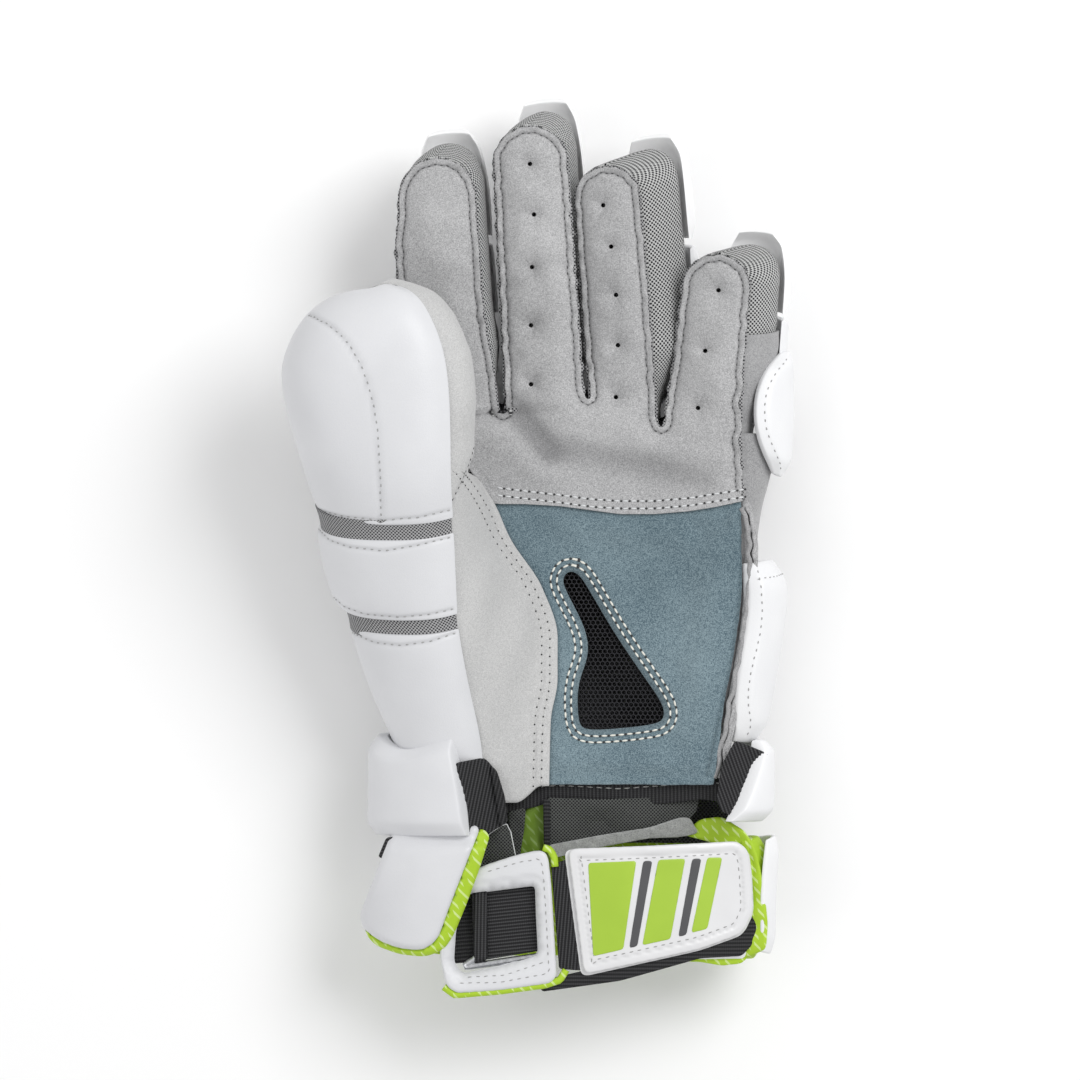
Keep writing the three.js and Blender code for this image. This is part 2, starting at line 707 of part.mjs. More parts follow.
// The metal loop in the anchor, bent from one bar
function strapLoop() {
  const [left, right] = [-27, -4];
  const [top, bottom] = [strapTop - 17, strapBottom + 4];
  const bar = wireThickness;
  const outer = roundedOutline([flat(left, bottom), flat(right, bottom + 3), flat(right, top), flat(left, top)], 3);
  const inner = roundedOutline(
    [
      flat(left + bar, bottom + bar),
      flat(right - bar, bottom + 3 + bar),
      flat(right - bar, top - bar),
      flat(left + bar, top - bar),
    ],
    2,
  );
  return cutBy(strapSheet(outer, -wireThickness - gap, wireThickness), inner);
}

const tabRise = 0.6;

// What lies under the loop and under the tab
function anchorWebbing() {
  const corners = [flat(-25, strapBottom + 6), flat(-3, strapBottom + 9), flat(-6, strapTop - 12), flat(-22, strapTop - 14)];
  return strapSheet(roundedOutline(corners, 2, 1), -wireThickness - webbing - 2 * gap, webbing);
}

function strapElastic() {
  const corners = [flat(2, strapBottom + 3), flat(13.5, strapBottom + 3), flat(13.5, strapTop - 2), flat(2, strapTop - 2)];
  return strapSheet(roundedOutline(corners, 1, 1), -webbing - gap, webbing, 2);
}

function closureStrap() {
  const corners = [
    flat(13.9, strapBottom - 4),
    flat(tabLeft + 0.66 * tabLength, strapBottom + 3),
    flat(tabLeft + tabLength - 3, strapBottom + 16),
    flat(tabLeft + tabLength - 3, strapTop - 3),
    flat(13.9, strapTop - 3),
  ];
  return strapSheet(roundedOutline(corners, 2, 1), tabRise - webbing - gap, webbing, 6);
}

// Raised coloured bars on the tab: leaning strips, each a share of the tab's length and width
const inlayHeight = 0.7;
const inlayRows = [
  { name: "wide", from: 0.12, wide: 0.26, low: 0.16, high: 0.84 },
  { name: "middle", from: 0.47, wide: 0.14, low: 0.24, high: 0.84 },
  { name: "narrow", from: 0.7, wide: 0.08, low: 0.34, high: 0.84 },
];

function tabInlay(row) {
  const slant = 0.1 * tabLength;
  const x0 = tabLeft + row.from * tabLength;
  const x1 = x0 + row.wide * tabLength;
  const [y0, y1] = [strapBottom + row.low * strapWidth, strapBottom + row.high * strapWidth];
  const corners = [flat(x0, y0), flat(x1, y0), flat(x1 + slant, y1), flat(x0 + slant, y1)];
  return strapSheet(roundedOutline(corners, 1.5, 2), tabRise + rubber + gap, inlayHeight, 4);
}

// A tape bent through three points of X and Z, between two heights along the hand
function tapeBetween(from, over, to, y0, y1) {
  const [a, b, c] = [from, over, to].map(([x, z]) => point(x, 0, z));
  const bend = new THREE.QuadraticBezierCurve3(a, b, c);
  return sheet((k, y) => bend.getPoint(k).setY(y), steps(0, 1, 4), [y0, y1], webbing);
}

// The lining starts inside the hand's back, and steps out to the rolls below it
const liningRows = [
  { down: -5, inward: 6.2 },
  { down: 0.5, inward: 6.2 },
  { down: 7, inward: 1.8 },
  { down: 39, inward: 1.8 },
];

function wristLining() {
  const at = (row, a) => cuffSkin(a, rollTop - row.down, -row.inward);
  return sheet(at, liningRows, steps(206, 334, 9), cloth);
}

// Materials
const finish = (color, roughness, metalness = 0) =>
  new THREE.MeshStandardMaterial({ color, roughness, metalness });
const whiteLeather = finish("#e4e5e8", 0.45);
const greySuede = finish("#b4b4b4", 0.95);
const blueSuede = finish("#7f959e", 0.95);
const darkMesh = finish("#6b6b6b", 0.8);
const blackMesh = finish("#1b1c22", 0.75);
const blackTape = finish("#222222", 0.8);
const limeCloth = finish("#a6cf2a", 0.7);
const limeRubber = finish("#aed14e", 0.45);
const whiteRubber = finish("#ececee", 0.35);
const steel = finish("#b9bcc0", 0.25, 1);

const glove = new THREE.Group();

function add(name, geometry, material) {
  const mesh = new THREE.Mesh(geometry, material);
  mesh.name = name;
  glove.add(mesh);
}

// Palm side
add("palm_panel", palmPanel(), greySuede);
add("palm_heel_panel", heelPanel(), blueSuede);
add("vent_mesh", ventMesh(), blackMesh);
add("thumb_palm_panel", thumbPalmPanel(), greySuede);
add("palm_binding", palmBinding(), blackTape);

// Fingers
for (const finger of fingers) {
  add(`${finger.name}_gusset`, fingerShell(finger), darkMesh);
  for (const row of padRows) add(`${finger.name}_${row.part}_pad`, fingerPad(finger, row), whiteLeather);
}

// Hand
add("ulnar_side_panel", handPart(0, ulnarEnd - 0.004, 6), greySuede);
add("hand_backing", handPart(ulnarEnd, backEnd - 0.004, 9), darkMesh);
add("radial_side_panel", handPart(backEnd, 1, 3, () => webLine + 1), greySuede);

const handPads = [
  { name: "knuckle_pad_inner", q0: 0.6, q1: 0.74, y0: 10, y1: 42, columns: 4 },
  { name: "knuckle_pad_middle", q0: 0.48, q1: 0.585, y0: 12, y1: 44, columns: 4 },
  { name: "knuckle_pad_outer", q0: 0.37, q1: 0.465, y0: 10, y1: 38, columns: 4 },
  { name: "back_pad_inner", q0: 0.565, q1: 0.72, y0: -32, y1: 6, columns: 5 },
  { name: "back_pad_outer", q0: 0.37, q1: 0.55, y0: -32, y1: 6, columns: 5 },
  { name: "back_pad_lower", q0: 0.37, q1: 0.68, y0: -66, y1: -36, columns: 7 },
];
for (const row of handPads) {
  const lines = steps(-1, 1, row.columns);
  const foam = handPad(row.q0, row.q1, row.y0, row.y1, handFoam, 0.25, lines);
  add(row.name, flattened(foam), whiteLeather);
}
const sideLines = steps(-1, 1, 6);
add("side_pad_upper", handPad(0.04, 0.27, 26, 64, 4.5, 0.7, sideLines, padLines, 0.6), whiteLeather);
add("side_pad_lower", handPad(0.05, 0.32, -68, -5, 8, 0.3, sideLines), whiteLeather);

// Thumb
add("thumb_backing", thumbBacking(), darkMesh);
const tipLines = [-1, -0.85, -0.4, 0.1, 0.5, 0.82, 1];
add("thumb_tip_pad", thumbPad(12, 95, thumbFold, 228, thumbFoamAt(0.3, 0.85), 0.45, tipLines), whiteLeather);
add("thumb_middle_pad", thumbPad(-22.7, 6, thumbFold, 222, thumbFoamAt(0.9, 0.9), 0.05), whiteLeather);
add("thumb_base_pad", thumbPad(-66, -28, thumbFold, 214, thumbFoamAt(0.9, 0, 0.8), 0.05), whiteLeather);

// Cuff
for (const row of cuffRows) {
  const xs = steps(-1, 1, row.columns);
  const roll = cuffPad(row.rollFrom, row.rollTo, rollBottom, rollTop, 0, cuffFoam, 0.15, xs);
  add(`wrist_roll_${row.side}`, flattened(roll), whiteLeather);
  const [bottom, top] = [rollBottom - flapLength, rollBottom - 0.6];
  const lining = cuffPad(row.from - 2, row.to + 2, bottom - 2, top, -1.5, liningThickness, 0.3, xs);
  add(`cuff_lining_${row.side}`, lining, limeCloth);
  const flap = cuffPad(row.from, row.to, bottom, top, liningThickness - 1.5 + gap, cuffFoam - 1, 0.3, xs);
  add(`cuff_flap_${row.side}`, flattened(flap), whiteLeather);
}

add("wrist_lining", wristLining(), blackMesh);
add("elastic_tab_left", tapeBetween([-24.1, 57.6], [-18, 54], [-13.5, 44.5], -106, -88.1), blackTape);
add("elastic_tab_right", tapeBetween([66.1, 45.7], [71, 45], [77, 41], -99, -74), blackTape);

// Strap
add("strap_anchor", anchorFrame(), whiteLeather);
add("strap_loop", strapLoop(), steel);
add("anchor_webbing", anchorWebbing(), blackTape);
add("strap_elastic", strapElastic(), blackTape);
add("closure_strap", closureStrap(), blackTape);
add("closure_tab", strapSheet(roundedOutline(tabCorners(0), 4), tabRise, rubber, 6), whiteRubber);
for (const row of inlayRows) add(`tab_inlay_${row.name}`, tabInlay(row), limeRubber);

// The part's origin is the middle of its footprint, on the floor
const box = new THREE.Box3().setFromObject(glove);
glove.position.set(-(box.min.x + box.max.x) / 2, -(box.min.y + box.max.y) / 2, -box.min.z);

export default glove;
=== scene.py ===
# A left-hand lacrosse glove on its padded back, dressed for the camera.
# The surfaces follow the solids: millimetres in the glove's own axes, moved into the frame by toFrame.
import math
import bpy
import numpy as np
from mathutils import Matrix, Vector
from mathutils.bvhtree import BVHTree
from mathutils.geometry import delaunay_2d_cdt
from mathutils.kdtree import KDTree


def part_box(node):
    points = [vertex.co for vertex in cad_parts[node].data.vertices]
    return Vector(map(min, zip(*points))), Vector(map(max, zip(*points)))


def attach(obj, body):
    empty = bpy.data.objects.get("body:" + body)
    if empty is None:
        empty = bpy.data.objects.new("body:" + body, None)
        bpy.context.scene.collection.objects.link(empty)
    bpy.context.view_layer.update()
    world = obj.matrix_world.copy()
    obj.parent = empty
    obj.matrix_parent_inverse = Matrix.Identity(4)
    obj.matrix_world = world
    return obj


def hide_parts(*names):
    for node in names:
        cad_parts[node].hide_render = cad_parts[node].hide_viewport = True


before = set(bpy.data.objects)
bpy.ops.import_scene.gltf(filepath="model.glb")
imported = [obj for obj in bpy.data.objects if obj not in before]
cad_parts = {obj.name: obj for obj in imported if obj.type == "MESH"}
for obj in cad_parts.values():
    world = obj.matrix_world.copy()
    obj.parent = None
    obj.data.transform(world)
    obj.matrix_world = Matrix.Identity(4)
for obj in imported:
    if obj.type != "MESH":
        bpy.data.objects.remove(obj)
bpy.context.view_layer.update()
print("frame loaded")

# Thicknesses and clearances of the solids
stock = {"gap": 0.35, "seat": 0.75, "suede": 1.4, "cloth": 1.2, "fingerFoam": 9.5, "handFoam": 12.5,
         "thumbFoam": 10, "thumbSideFoam": 15, "cuffFoam": 8, "rubber": 2.4, "webbing": 1.6, "wire": 2.6,
         "floorCut": 1.2}
hand = {"left": -50.5, "knuckles": 51, "length": 139, "heelNarrowing": 9, "skinEnd": -69,
        "slot": 3.4, "back": 14.6, "knuckleLift": 6, "height": 41.5, "cup": 9, "bulge": 15, "web": 31}
palmEnd = hand["knuckles"] - hand["length"]
handEnd = hand["knuckles"] - 9
fingers = [
    {"name": "index", "length": 93, "width": 29, "depth": 23, "forward": -2, "fork": 0, "lean": -3.2,
     "roll": 7, "drift": 3, "bulge": 0.14, "curl": 16, "root": 1.2, "deep": 1.25},
    {"name": "middle", "length": 103, "width": 28.6, "depth": 23, "forward": 0, "fork": -2, "lean": -3.4,
     "roll": 9, "drift": 4, "bulge": -0.06, "curl": 17, "root": 0.99, "deep": 1.05},
    {"name": "ring", "length": 91.5, "width": 25, "depth": 22, "forward": -3, "fork": 3.5, "lean": -4.6,
     "roll": 24, "drift": 12, "bulge": 0.14, "curl": 15, "root": 0.93, "deep": 1.05},
    {"name": "little", "length": 64, "width": 25.6, "depth": 21, "forward": -8, "fork": -8.3, "lean": 5.5,
     "roll": 26, "drift": 7, "bulge": 0.16, "curl": 11, "root": 1.06, "deep": 1.25},
]
fingerShape = {"seam": 0.87, "crown": 1.4, "blend": 26, "reach": 4.5, "round": 0.46}
thumb = {"width": 56, "depth": 31, "height": 71, "top": 97, "tilt": -0.23, "fold": 46, "end": 232}
cuff = {"middle": 11.5, "height": 36.1, "halfWidth": 68, "halfHeight": 26.5, "rollTop": -71.5, "roll": 35,
        "flap": 44, "flare": 3}
strapHeight = 52

# The solids' origin is the middle of their footprint, so the axes are shifted by where the strap landed
strapCorner = (13.9, -112.5)  # the strap's left end and top edge, in millimetres
low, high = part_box("closure_strap")
shift = np.array([low[0] * 1000 - strapCorner[0], high[1] * 1000 - strapCorner[1], -stock["floorCut"]])
photo = {"pixel": 0.3683, "column": 540, "row": 546}  # millimetres per pixel, and the pixel of the glove's zero


def toFrame(points):
    return (np.asarray(points, float).reshape(-1, 3) + shift) / 1000


def placeOf(column, row):  # a place in the photograph, in millimetres across the glove
    return ((column - photo["column"]) * photo["pixel"], (photo["row"] - row) * photo["pixel"])


def placesOf(*pairs):
    return np.array([placeOf(*pair) for pair in pairs])


def smooth(t):
    t = np.clip(t, 0.0, 1.0)
    return t * t * (3 - 2 * t)


def lerp(a, b, t):
    return a + (b - a) * t


def unit(v):
    return v / np.maximum(np.linalg.norm(v, axis=-1, keepdims=True), 1e-9)


def ripple(x, y, scale, seed):  # soft random hills between -1 and 1
    made = np.random.default_rng(seed)
    total = np.zeros(np.broadcast(x, y).shape)
    for k in range(7):
        turn, phase = made.uniform(0, math.tau, 2)
        pace = made.uniform(0.6, 1.7) * math.tau / scale
        total = total + np.sin((x * math.cos(turn) + y * math.sin(turn)) * pace + phase)
    return total / 3.2


def readRows(rows, at, column):  # a soft curve through a table's rows, without overshoot
    rows = np.asarray(rows, float)
    x, y = rows[:, 0], rows[:, column]
    step = np.diff(x)
    rise = np.diff(y) / step
    slope = np.zeros(len(x))
    turning = rise[:-1] * rise[1:] > 0
    a, b = 2 * step[1:] + step[:-1], step[1:] + 2 * step[:-1]
    safe = np.where(np.abs(rise) > 1e-9, rise, 1)
    slope[1:-1] = np.where(turning, (a + b) / (a / safe[:-1] + b / safe[1:]), 0)
    slope[0], slope[-1] = rise[0], rise[-1]
    at = np.asarray(at, float)
    i = np.clip(np.searchsorted(x, at) - 1, 0, len(x) - 2)
    t = np.clip((at - x[i]) / step[i], 0, 1)
    return (y[i] * (1 + 2 * t) * (1 - t) ** 2 + y[i + 1] * t * t * (3 - 2 * t)
            + step[i] * (slope[i] * t * (1 - t) ** 2 + slope[i + 1] * t * t * (t - 1)))


def bentThrough(points, at):  # the solids' own curve through points, read at shares from 0 to 1
    points = np.asarray(points, float)
    count = len(points)
    ends = np.concatenate([[2 * points[0] - points[1]], points, [2 * points[-1] - points[-2]]])
    place = np.clip(np.asarray(at, float), 0, 1) * (count - 1)
    i = np.minimum(place.astype(int), count - 2)
    t = (place - i).reshape(place.shape + (1,) * (points.ndim - 1))
    p0, p1, p2, p3 = (ends[i + k] for k in range(4))
    d0, d1, d2 = (np.maximum(np.sum((b - a) ** 2, axis=-1, keepdims=True) ** 0.25, 1e-4)
                  for a, b in ((p0, p1), (p1, p2), (p2, p3)))
    m1 = ((p1 - p0) / d0 - (p2 - p0) / (d0 + d1) + (p2 - p1) / d1) * d1
    m2 = ((p2 - p1) / d1 - (p3 - p1) / (d1 + d2) + (p3 - p2) / d2) * d1
    return p1 + m1 * t + (3 * p2 - 3 * p1 - 2 * m1 - m2) * t ** 2 + (2 * p1 - 2 * p2 + m1 + m2) * t ** 3


# The lie of the fingers
nextLeft = hand["left"]
for f in fingers:
    f["rootX"] = nextLeft + f["width"] * f["root"] / 2
    f["rootY"] = hand["knuckles"] + f["forward"]
    lean = math.radians(f["lean"])
    f["along"] = np.array([math.sin(lean), math.cos(lean), 0.0])
    f["across"] = np.array([math.cos(lean), -math.sin(lean), 0.0])
    nextLeft += f["width"] * f["root"] + hand["slot"]
handRight = nextLeft - hand["slot"]
palmMiddle, palmHalf = (hand["left"] + handRight) / 2, (handRight - hand["left"]) / 2
gussetRows = np.array([(-1, 0, 0), (-1.1, 0.22, 0), (-1.08, 0.55, 0), (-0.9, 0.86, 0), (-0.4, 1, 0),
                       (0.4, 1, 0), (0.9, 0.86, 0.3), (1, 0.55, 0.95), (1, 0.22, 1), (1, 0, 0)], float)


def handFace(x):
    return hand["height"] + hand["cup"] * ((x - palmMiddle) / palmHalf) ** 2


def fingerFace(f, s, u):
    x = f["rootX"] + f["along"][0] * s + f["across"][0] * u
    own = (handFace(f["rootX"]) + f["curl"] * (s / f["length"]) ** 2 * np.sign(s)
           + math.tan(math.radians(f["roll"])) * u - fingerShape["crown"] * (2 * u / f["width"]) ** 2)
    return lerp(handFace(x), own, smooth(s / fingerShape["blend"]))


def facePoint(f, s, u, drop):
    s, u = np.broadcast_arrays(np.asarray(s, float), np.asarray(u, float))
    flat = f["along"] * s[..., None] + f["across"] * u[..., None]
    return np.stack([f["rootX"] + flat[..., 0], f["rootY"] + flat[..., 1], fingerFace(f, s, u) - drop], -1)


def tipShare(f, s):
    span = fingerShape["round"] * f["width"]
    return np.clip((s - (f["length"] - span)) / span, 0, 1)


def faceHalf(f, s):
    body = lerp(f["root"], 0.99, smooth(s / (0.45 * f["length"]))) - 0.06 * smooth(s / f["length"])
    return f["width"] / 2 * body * np.sqrt(np.maximum(1 - tipShare(f, s) ** 2, 0))


def fingerFrame(f, s):
    drop = stock["suede"] + 0.65 * stock["cloth"] + stock["gap"]
    half = faceHalf(f, s) * fingerShape["seam"]
    left, right = facePoint(f, s, -half, drop), facePoint(f, s, half, drop)
    side = right - left
    ahead = unit(facePoint(f, s + 2, 0 * s, drop) - facePoint(f, s - 2, 0 * s, drop))
    across = unit(side)
    return (left + right) / 2, across, unit(np.cross(ahead, across)), np.linalg.norm(side, axis=-1) / 2


def fingerSkin(f, s, q, reach=fingerShape["reach"]):
    s, q = np.broadcast_arrays(np.asarray(s, float), np.asarray(q, float))
    middle, across, down, half = fingerFrame(f, s)
    rows = np.stack([gussetRows[:, 0] + gussetRows[:, 2] * f["bulge"], gussetRows[:, 1], 0 * gussetRows[:, 0]], 1)
    shape = bentThrough(rows, q.ravel()).reshape(q.shape + (3,))
    t = tipShare(f, s)
    body = lerp(f["deep"], 1, smooth(s / (0.4 * f["length"]))) - 0.06 * smooth(s / f["length"])
    depth = f["depth"] * body * (1 - 0.8 * t ** 4) ** (1 / 3)
    x, y = shape[..., 0], shape[..., 1]
    sideways = (x * half + y * f["drift"] * smooth(s / fingerShape["blend"]))[..., None]
    return (middle + across * sideways + down * (y * depth)[..., None]
            + f["along"] * (y * reach * smooth(t * 2))[..., None])


def normalOf(at, u, v, du, dv):
    return unit(np.cross(at(u + du, v) - at(u - du, v), at(u, v + dv) - at(u, v - dv)))


rightEdgeRows = [(0, 0), (0.46, -0.15), (0.62, 0.1), (0.8, 0.6), (1, 1)]
thumbSeamRows = [(0.02, -1), (0.08, -0.9), (0.16, -0.63), (0.25, -0.48), (0.35, -0.37), (0.48, -0.18),
                 (0.61, -0.09), (0.72, -0.09), (0.83, -0.13), (1, -0.14)]


def palmShare(y):
    return (hand["knuckles"] - np.asarray(y, float)) / hand["length"]


def palmRight(y):
    return handRight - hand["heelNarrowing"] * readRows(rightEdgeRows, palmShare(y), 1)


def thumbSeam(y):
    return palmMiddle + palmHalf * readRows(thumbSeamRows, palmShare(y), 1)


# The hand's skin round the back, from a table of sections
def handSections(y):
    right = palmRight(y)
    high = handFace(right) - stock["suede"] - stock["cloth"] - 2.5 * stock["gap"]
    share = palmShare(y)
    ulnarRows = [(-0.15, 1), (0, 1), (0.1, 0.92), (0.2, 0.62), (0.3, 0.38), (0.38, 0.3), (0.48, 0.45), (1, 0.45)]
    out = hand["bulge"] * readRows(ulnarRows, share, 1)
    left = hand["left"] + 2.5 + 11 * smooth((share - 0.2) / 0.7)
    low = hand["back"] + hand["knuckleLift"] * smooth((0.3 - share) / 0.3)
    spots = [(right - 2, high), (right + 0.5 * out, high - 4.5), (right + out, high - 14),
             (right + 0.78 * out, low + 9), (right - 8, low + 1.5), (palmMiddle + 4 + 0 * y, low),
             (left + 24, low + 0.5), (left + 9, low + 3), (left + 0.5, low + 8.5), (left - 4, low + 18),
             (left - 1, handFace(left) - stock["suede"] - 2)]
    return np.array([np.stack([x, y, z], -1) for x, z in spots])


tableY = np.linspace(-74, 72, 147)
handTable = bentThrough(handSections(tableY), np.linspace(0, 1, 241))


def handSkin(y, q):
    y, q = np.broadcast_arrays(np.asarray(y, float), np.asarray(q, float))
    a, b = np.clip(q * 240, 0, 239.999), np.clip(y - tableY[0], 0, 145.999)
    i, j = a.astype(int), b.astype(int)
    s, t = (a - i)[..., None], (b - j)[..., None]
    near = handTable[i, j] * (1 - t) + handTable[i, j + 1] * t
    return near * (1 - s) + (handTable[i + 1, j] * (1 - t) + handTable[i + 1, j + 1] * t) * s


def handOut(y, q):
    return -normalOf(handSkin, y, q, 1, 0.01)


def handTop(q):
    return lerp(hand["knuckles"] - 9.5, hand["knuckles"] - 3.5, smooth((q - 0.42) / 0.05))


# share of the length, then the middle across the palm, height, width, depth and turn
thumbRows = [(0, -0.66, 0.47, 0.62, 1.1, 20), (0.1, -0.66, 0.5, 0.62, 1.16, 25), (0.2, -0.71, 0.55, 0.64, 1.22, 28),
             (0.31, -0.79, 0.62, 0.745, 1.25, 28), (0.42, -0.86, 0.7, 0.815, 1.23, 25),
             (0.53, -0.92, 0.8, 0.86, 1.15, 20), (0.64, -0.975, 0.94, 0.88, 1.03, 16),
             (0.7, -0.995, 0.97, 0.92, 1.01, 15), (0.77, -1.02, 1, 0.975, 1, 14), (0.86, -1.05, 1.02, 0.985, 1, 13),
             (0.9, -1.07, 1.03, 0.94, 0.975, 13), (0.93, -1.09, 1.035, 0.875, 0.93, 12),
             (0.955, -1.11, 1.04, 0.79, 0.85, 12), (0.972, -1.12, 1.045, 0.71, 0.74, 12),
             (0.984, -1.13, 1.05, 0.61, 0.6, 12), (0.993, -1.135, 1.05, 0.36, 0.38, 12),
             (1, -1.14, 1.055, 0.002, 0.002, 12)]


def thumbSkin(y, degrees, offset=0.0):
    y, degrees = np.broadcast_arrays(np.asarray(y, float), np.asarray(degrees, float))
    share = (y - palmEnd) / (thumb["top"] - palmEnd)
    x, z, wide, deep, turn = (np.interp(share, np.array(thumbRows)[:, 0], np.array(thumbRows)[:, k])
                              if k > 2 else readRows(thumbRows, share, k) for k in (1, 2, 3, 4, 5))
    turn = np.radians(turn)
    c, s = (np.sign(v) * np.abs(v) ** (2 / 2.3) for v in (np.cos(np.radians(degrees)), np.sin(np.radians(degrees))))
    a = wide * thumb["width"] * c / 2 + offset * c
    b = deep * thumb["depth"] * s / 2 + offset * s
    rise = a * np.sin(turn) + b * np.cos(turn)
    cap = offset * smooth((share - 0.88) / 0.12) * 0.6
    wideX = palmMiddle + x * palmHalf + a * np.cos(turn) - b * np.sin(turn)
    away = np.maximum(palmMiddle + thumbRows[-1][1] * palmHalf + 7 - wideX, 0)  # the tip slopes down to the left
    cap = cap - smooth((share - 0.8) / 0.2) * (0.31 * away + 1.0 * smooth(away / 8))
    return np.stack([wideX, y + thumb["tilt"] * rise * smooth((y - palmEnd) / 60) + cap,
                     z * thumb["height"] + rise], -1)


def thumbLeather(y, k):
    y, k = np.broadcast_arrays(np.asarray(y, float), np.asarray(k, float))
    start = thumb["fold"] - stock["gap"] / 2 - 1.5
    closed = thumbSkin(y, lerp(start, thumb["end"] - 358, k))
    top = thumbSkin(y, start)
    flat = smooth((hand["web"] - y) / 34)
    edge = thumbSeam(y) - stock["gap"] - lerp(stock["suede"], 0.4, flat)
    low = np.stack([edge, y, handFace(edge) - stock["suede"]], -1)
    leave = np.array([22.0, 0, -7])
    arrive = np.stack([lerp(-14, 22, flat), 0 * flat, lerp(-26, -5, flat)], -1)
    k = k[..., None]
    spread = (top * (2 * k ** 3 - 3 * k ** 2 + 1) + leave * (k ** 3 - 2 * k ** 2 + k)
              + low * (3 * k ** 2 - 2 * k ** 3) + arrive * (k ** 3 - k ** 2))
    return lerp(closed, spread, smooth((hand["web"] + 5 - y) / 12)[..., None])


def cuffSkin(degrees, y, offset):
    degrees, y = np.broadcast_arrays(np.asarray(degrees, float), np.asarray(y, float))
    c, s = np.cos(np.radians(degrees)), np.sin(np.radians(degrees))
    flare = cuff["flare"] * np.where(c > 0, -1, 1) * smooth((cuff["rollTop"] - cuff["roll"] / 2 - y) / cuff["flap"])
    return np.stack([cuff["middle"] + (cuff["halfWidth"] + offset + flare) * c, y,
                     cuff["height"] + (cuff["halfHeight"] + offset) * s], -1)


def strapFace(x):
    middle = cuff["middle"] + 12
    fall = np.where(x < middle, 1.3, 11.6)
    return strapHeight - fall * ((x - middle) / cuff["halfWidth"]) ** 2


# Sums on a material's sockets
class Shade:
    def __init__(self, owner, socket):
        self.owner, self.socket = owner, socket

    def maths(self, operation, *others):
        return self.owner.node("ShaderNodeMath", {"operation": operation}, dict(enumerate((self,) + others)))

    def __add__(self, other):
        return self.maths("ADD", other)

    def __sub__(self, other):
        return self.maths("SUBTRACT", other)

    def __mul__(self, other):
        return self.maths("MULTIPLY", other)

    def __rsub__(self, other):
        return self.owner.node("ShaderNodeMath", {"operation": "SUBTRACT"}, {0: other, 1: self})

    def step(self, start, end):  # 0 below start, 1 above end
        return self.owner.node("ShaderNodeMapRange", {"interpolation_type": "SMOOTHSTEP"},
                               {"Value": self, "From Min": start, "From Max": end})


class Finish:
    def __init__(self, name, **fixed):
        self.material = bpy.data.materials.new(name)
        self.material.use_nodes = True
        self.tree = self.material.node_tree
        self.shader = self.tree.nodes["Principled BSDF"]
        for key, value in fixed.items():
            self.put(key.replace("_", " "), value)

    def put(self, key, value):
        self.feed(self.shader.inputs[key], value)

    def feed(self, socket, value):
        if isinstance(value, Shade):
            self.tree.links.new(value.socket, socket)
        elif isinstance(value, tuple) and len(value) == 3 and socket.type == "RGBA":
            socket.default_value = value + (1,)
        else:
            socket.default_value = value

    def node(self, kind, settings=None, inputs=None, output=0):
        made = self.tree.nodes.new(kind)
        for key, value in (settings or {}).items():
            setattr(made, key, value)
        for key, value in (inputs or {}).items():
            self.feed(made.inputs[key], value)
        return Shade(self, made.outputs[output])

    def place(self):
        return self.node("ShaderNodeTexCoord", output="Object")

    def split(self, kind):
        where = self.node("ShaderNodeTexCoord", output=kind)
        return [self.node("ShaderNodeSeparateXYZ", inputs={0: where}, output=axis) for axis in range(3)]

    def noise(self, scale, detail):
        return self.node("ShaderNodeTexNoise", inputs={"Vector": self.place(), "Scale": scale, "Detail": detail})

    # a mesh attribute that darkens the colour: along seams, and as painted shade on the palm and heel
    def worn(self, name):
        return self.node("ShaderNodeAttribute", {"attribute_name": name}, output="Fac")

    def blend(self, share, first, second):
        return self.node("ShaderNodeMix", {"data_type": "RGBA"}, {0: share, 6: first, 7: second}, output=2)

    def bump(self, height, distance, strength):
        self.put("Normal", self.node("ShaderNodeBump", {}, {"Height": height, "Distance": distance,
                                                            "Strength": strength}))


def suedeFinish(name, light, dark, seamColour, contrast=0.38):
    made = Finish(name, Roughness=0.93)
    made.put("Specular IOR Level", 0.2)
    made.put("Sheen Weight", 0.25)
    made.put("Sheen Roughness", 0.6)
    grain, nap, cloud = made.noise(2400, 3), made.noise(900, 2), made.noise(30, 3)
    tone = grain + nap * 0.25 + cloud * 0.3 - 0.28
    colour = made.blend(tone.step(0.5 - contrast, 0.5 + contrast), dark, light)
    # the attribute blends in the dark colour: along seams, and on the palm and heel as painted shade
    made.put("Base Color", made.blend(made.worn("seam"), colour, seamColour))
    made.bump(grain * 0.6 + nap * 0.4, 0.0002, 0.6)
    return made.material


def leatherFinish(name, light, dark, roughness):
    made = Finish(name)
    made.put("Specular IOR Level", 0.45)
    cloud, grain = made.noise(24, 3), made.noise(1500, 2)
    pebble = made.node("ShaderNodeTexVoronoi", {"feature": "DISTANCE_TO_EDGE"},
                       {"Vector": made.place(), "Scale": 900.0}, output="Distance")
    colour = made.blend(cloud.step(0.3, 0.75), dark, light)
    made.put("Base Color", made.blend(made.worn("seam"), colour, tuple(0.45 * v for v in dark)))
    made.put("Roughness", (cloud - 0.5) * 0.12 + grain * 0.08 + (roughness - 0.04))
    made.bump(pebble.step(0.0, 0.12) * 0.6 + grain * 0.4, 0.00006, 0.5)
    return made.material


def knitFinish(name, thread, hole, period):  # an open net of threads with staggered holes
    made = Finish(name, Roughness=0.8)
    made.put("Specular IOR Level", 0.25)
    u, v, _ = made.split("UV")
    wave = (u * (math.tau / period)).maths("COSINE") * (v * (math.tau / period)).maths("COSINE")
    open_ = wave.step(-0.12, 0.38)
    strand = (v * (math.tau / period * 2)).maths("SINE")
    fleck = made.noise(900, 2)
    tone = (1 - open_) * (strand * 0.12 + fleck * 0.5 + 0.62)
    made.put("Base Color", made.blend(tone.step(0.0, 1.0), hole, thread))
    made.bump(1 - open_ + strand * 0.15, 0.00025, 0.8)
    return made.material


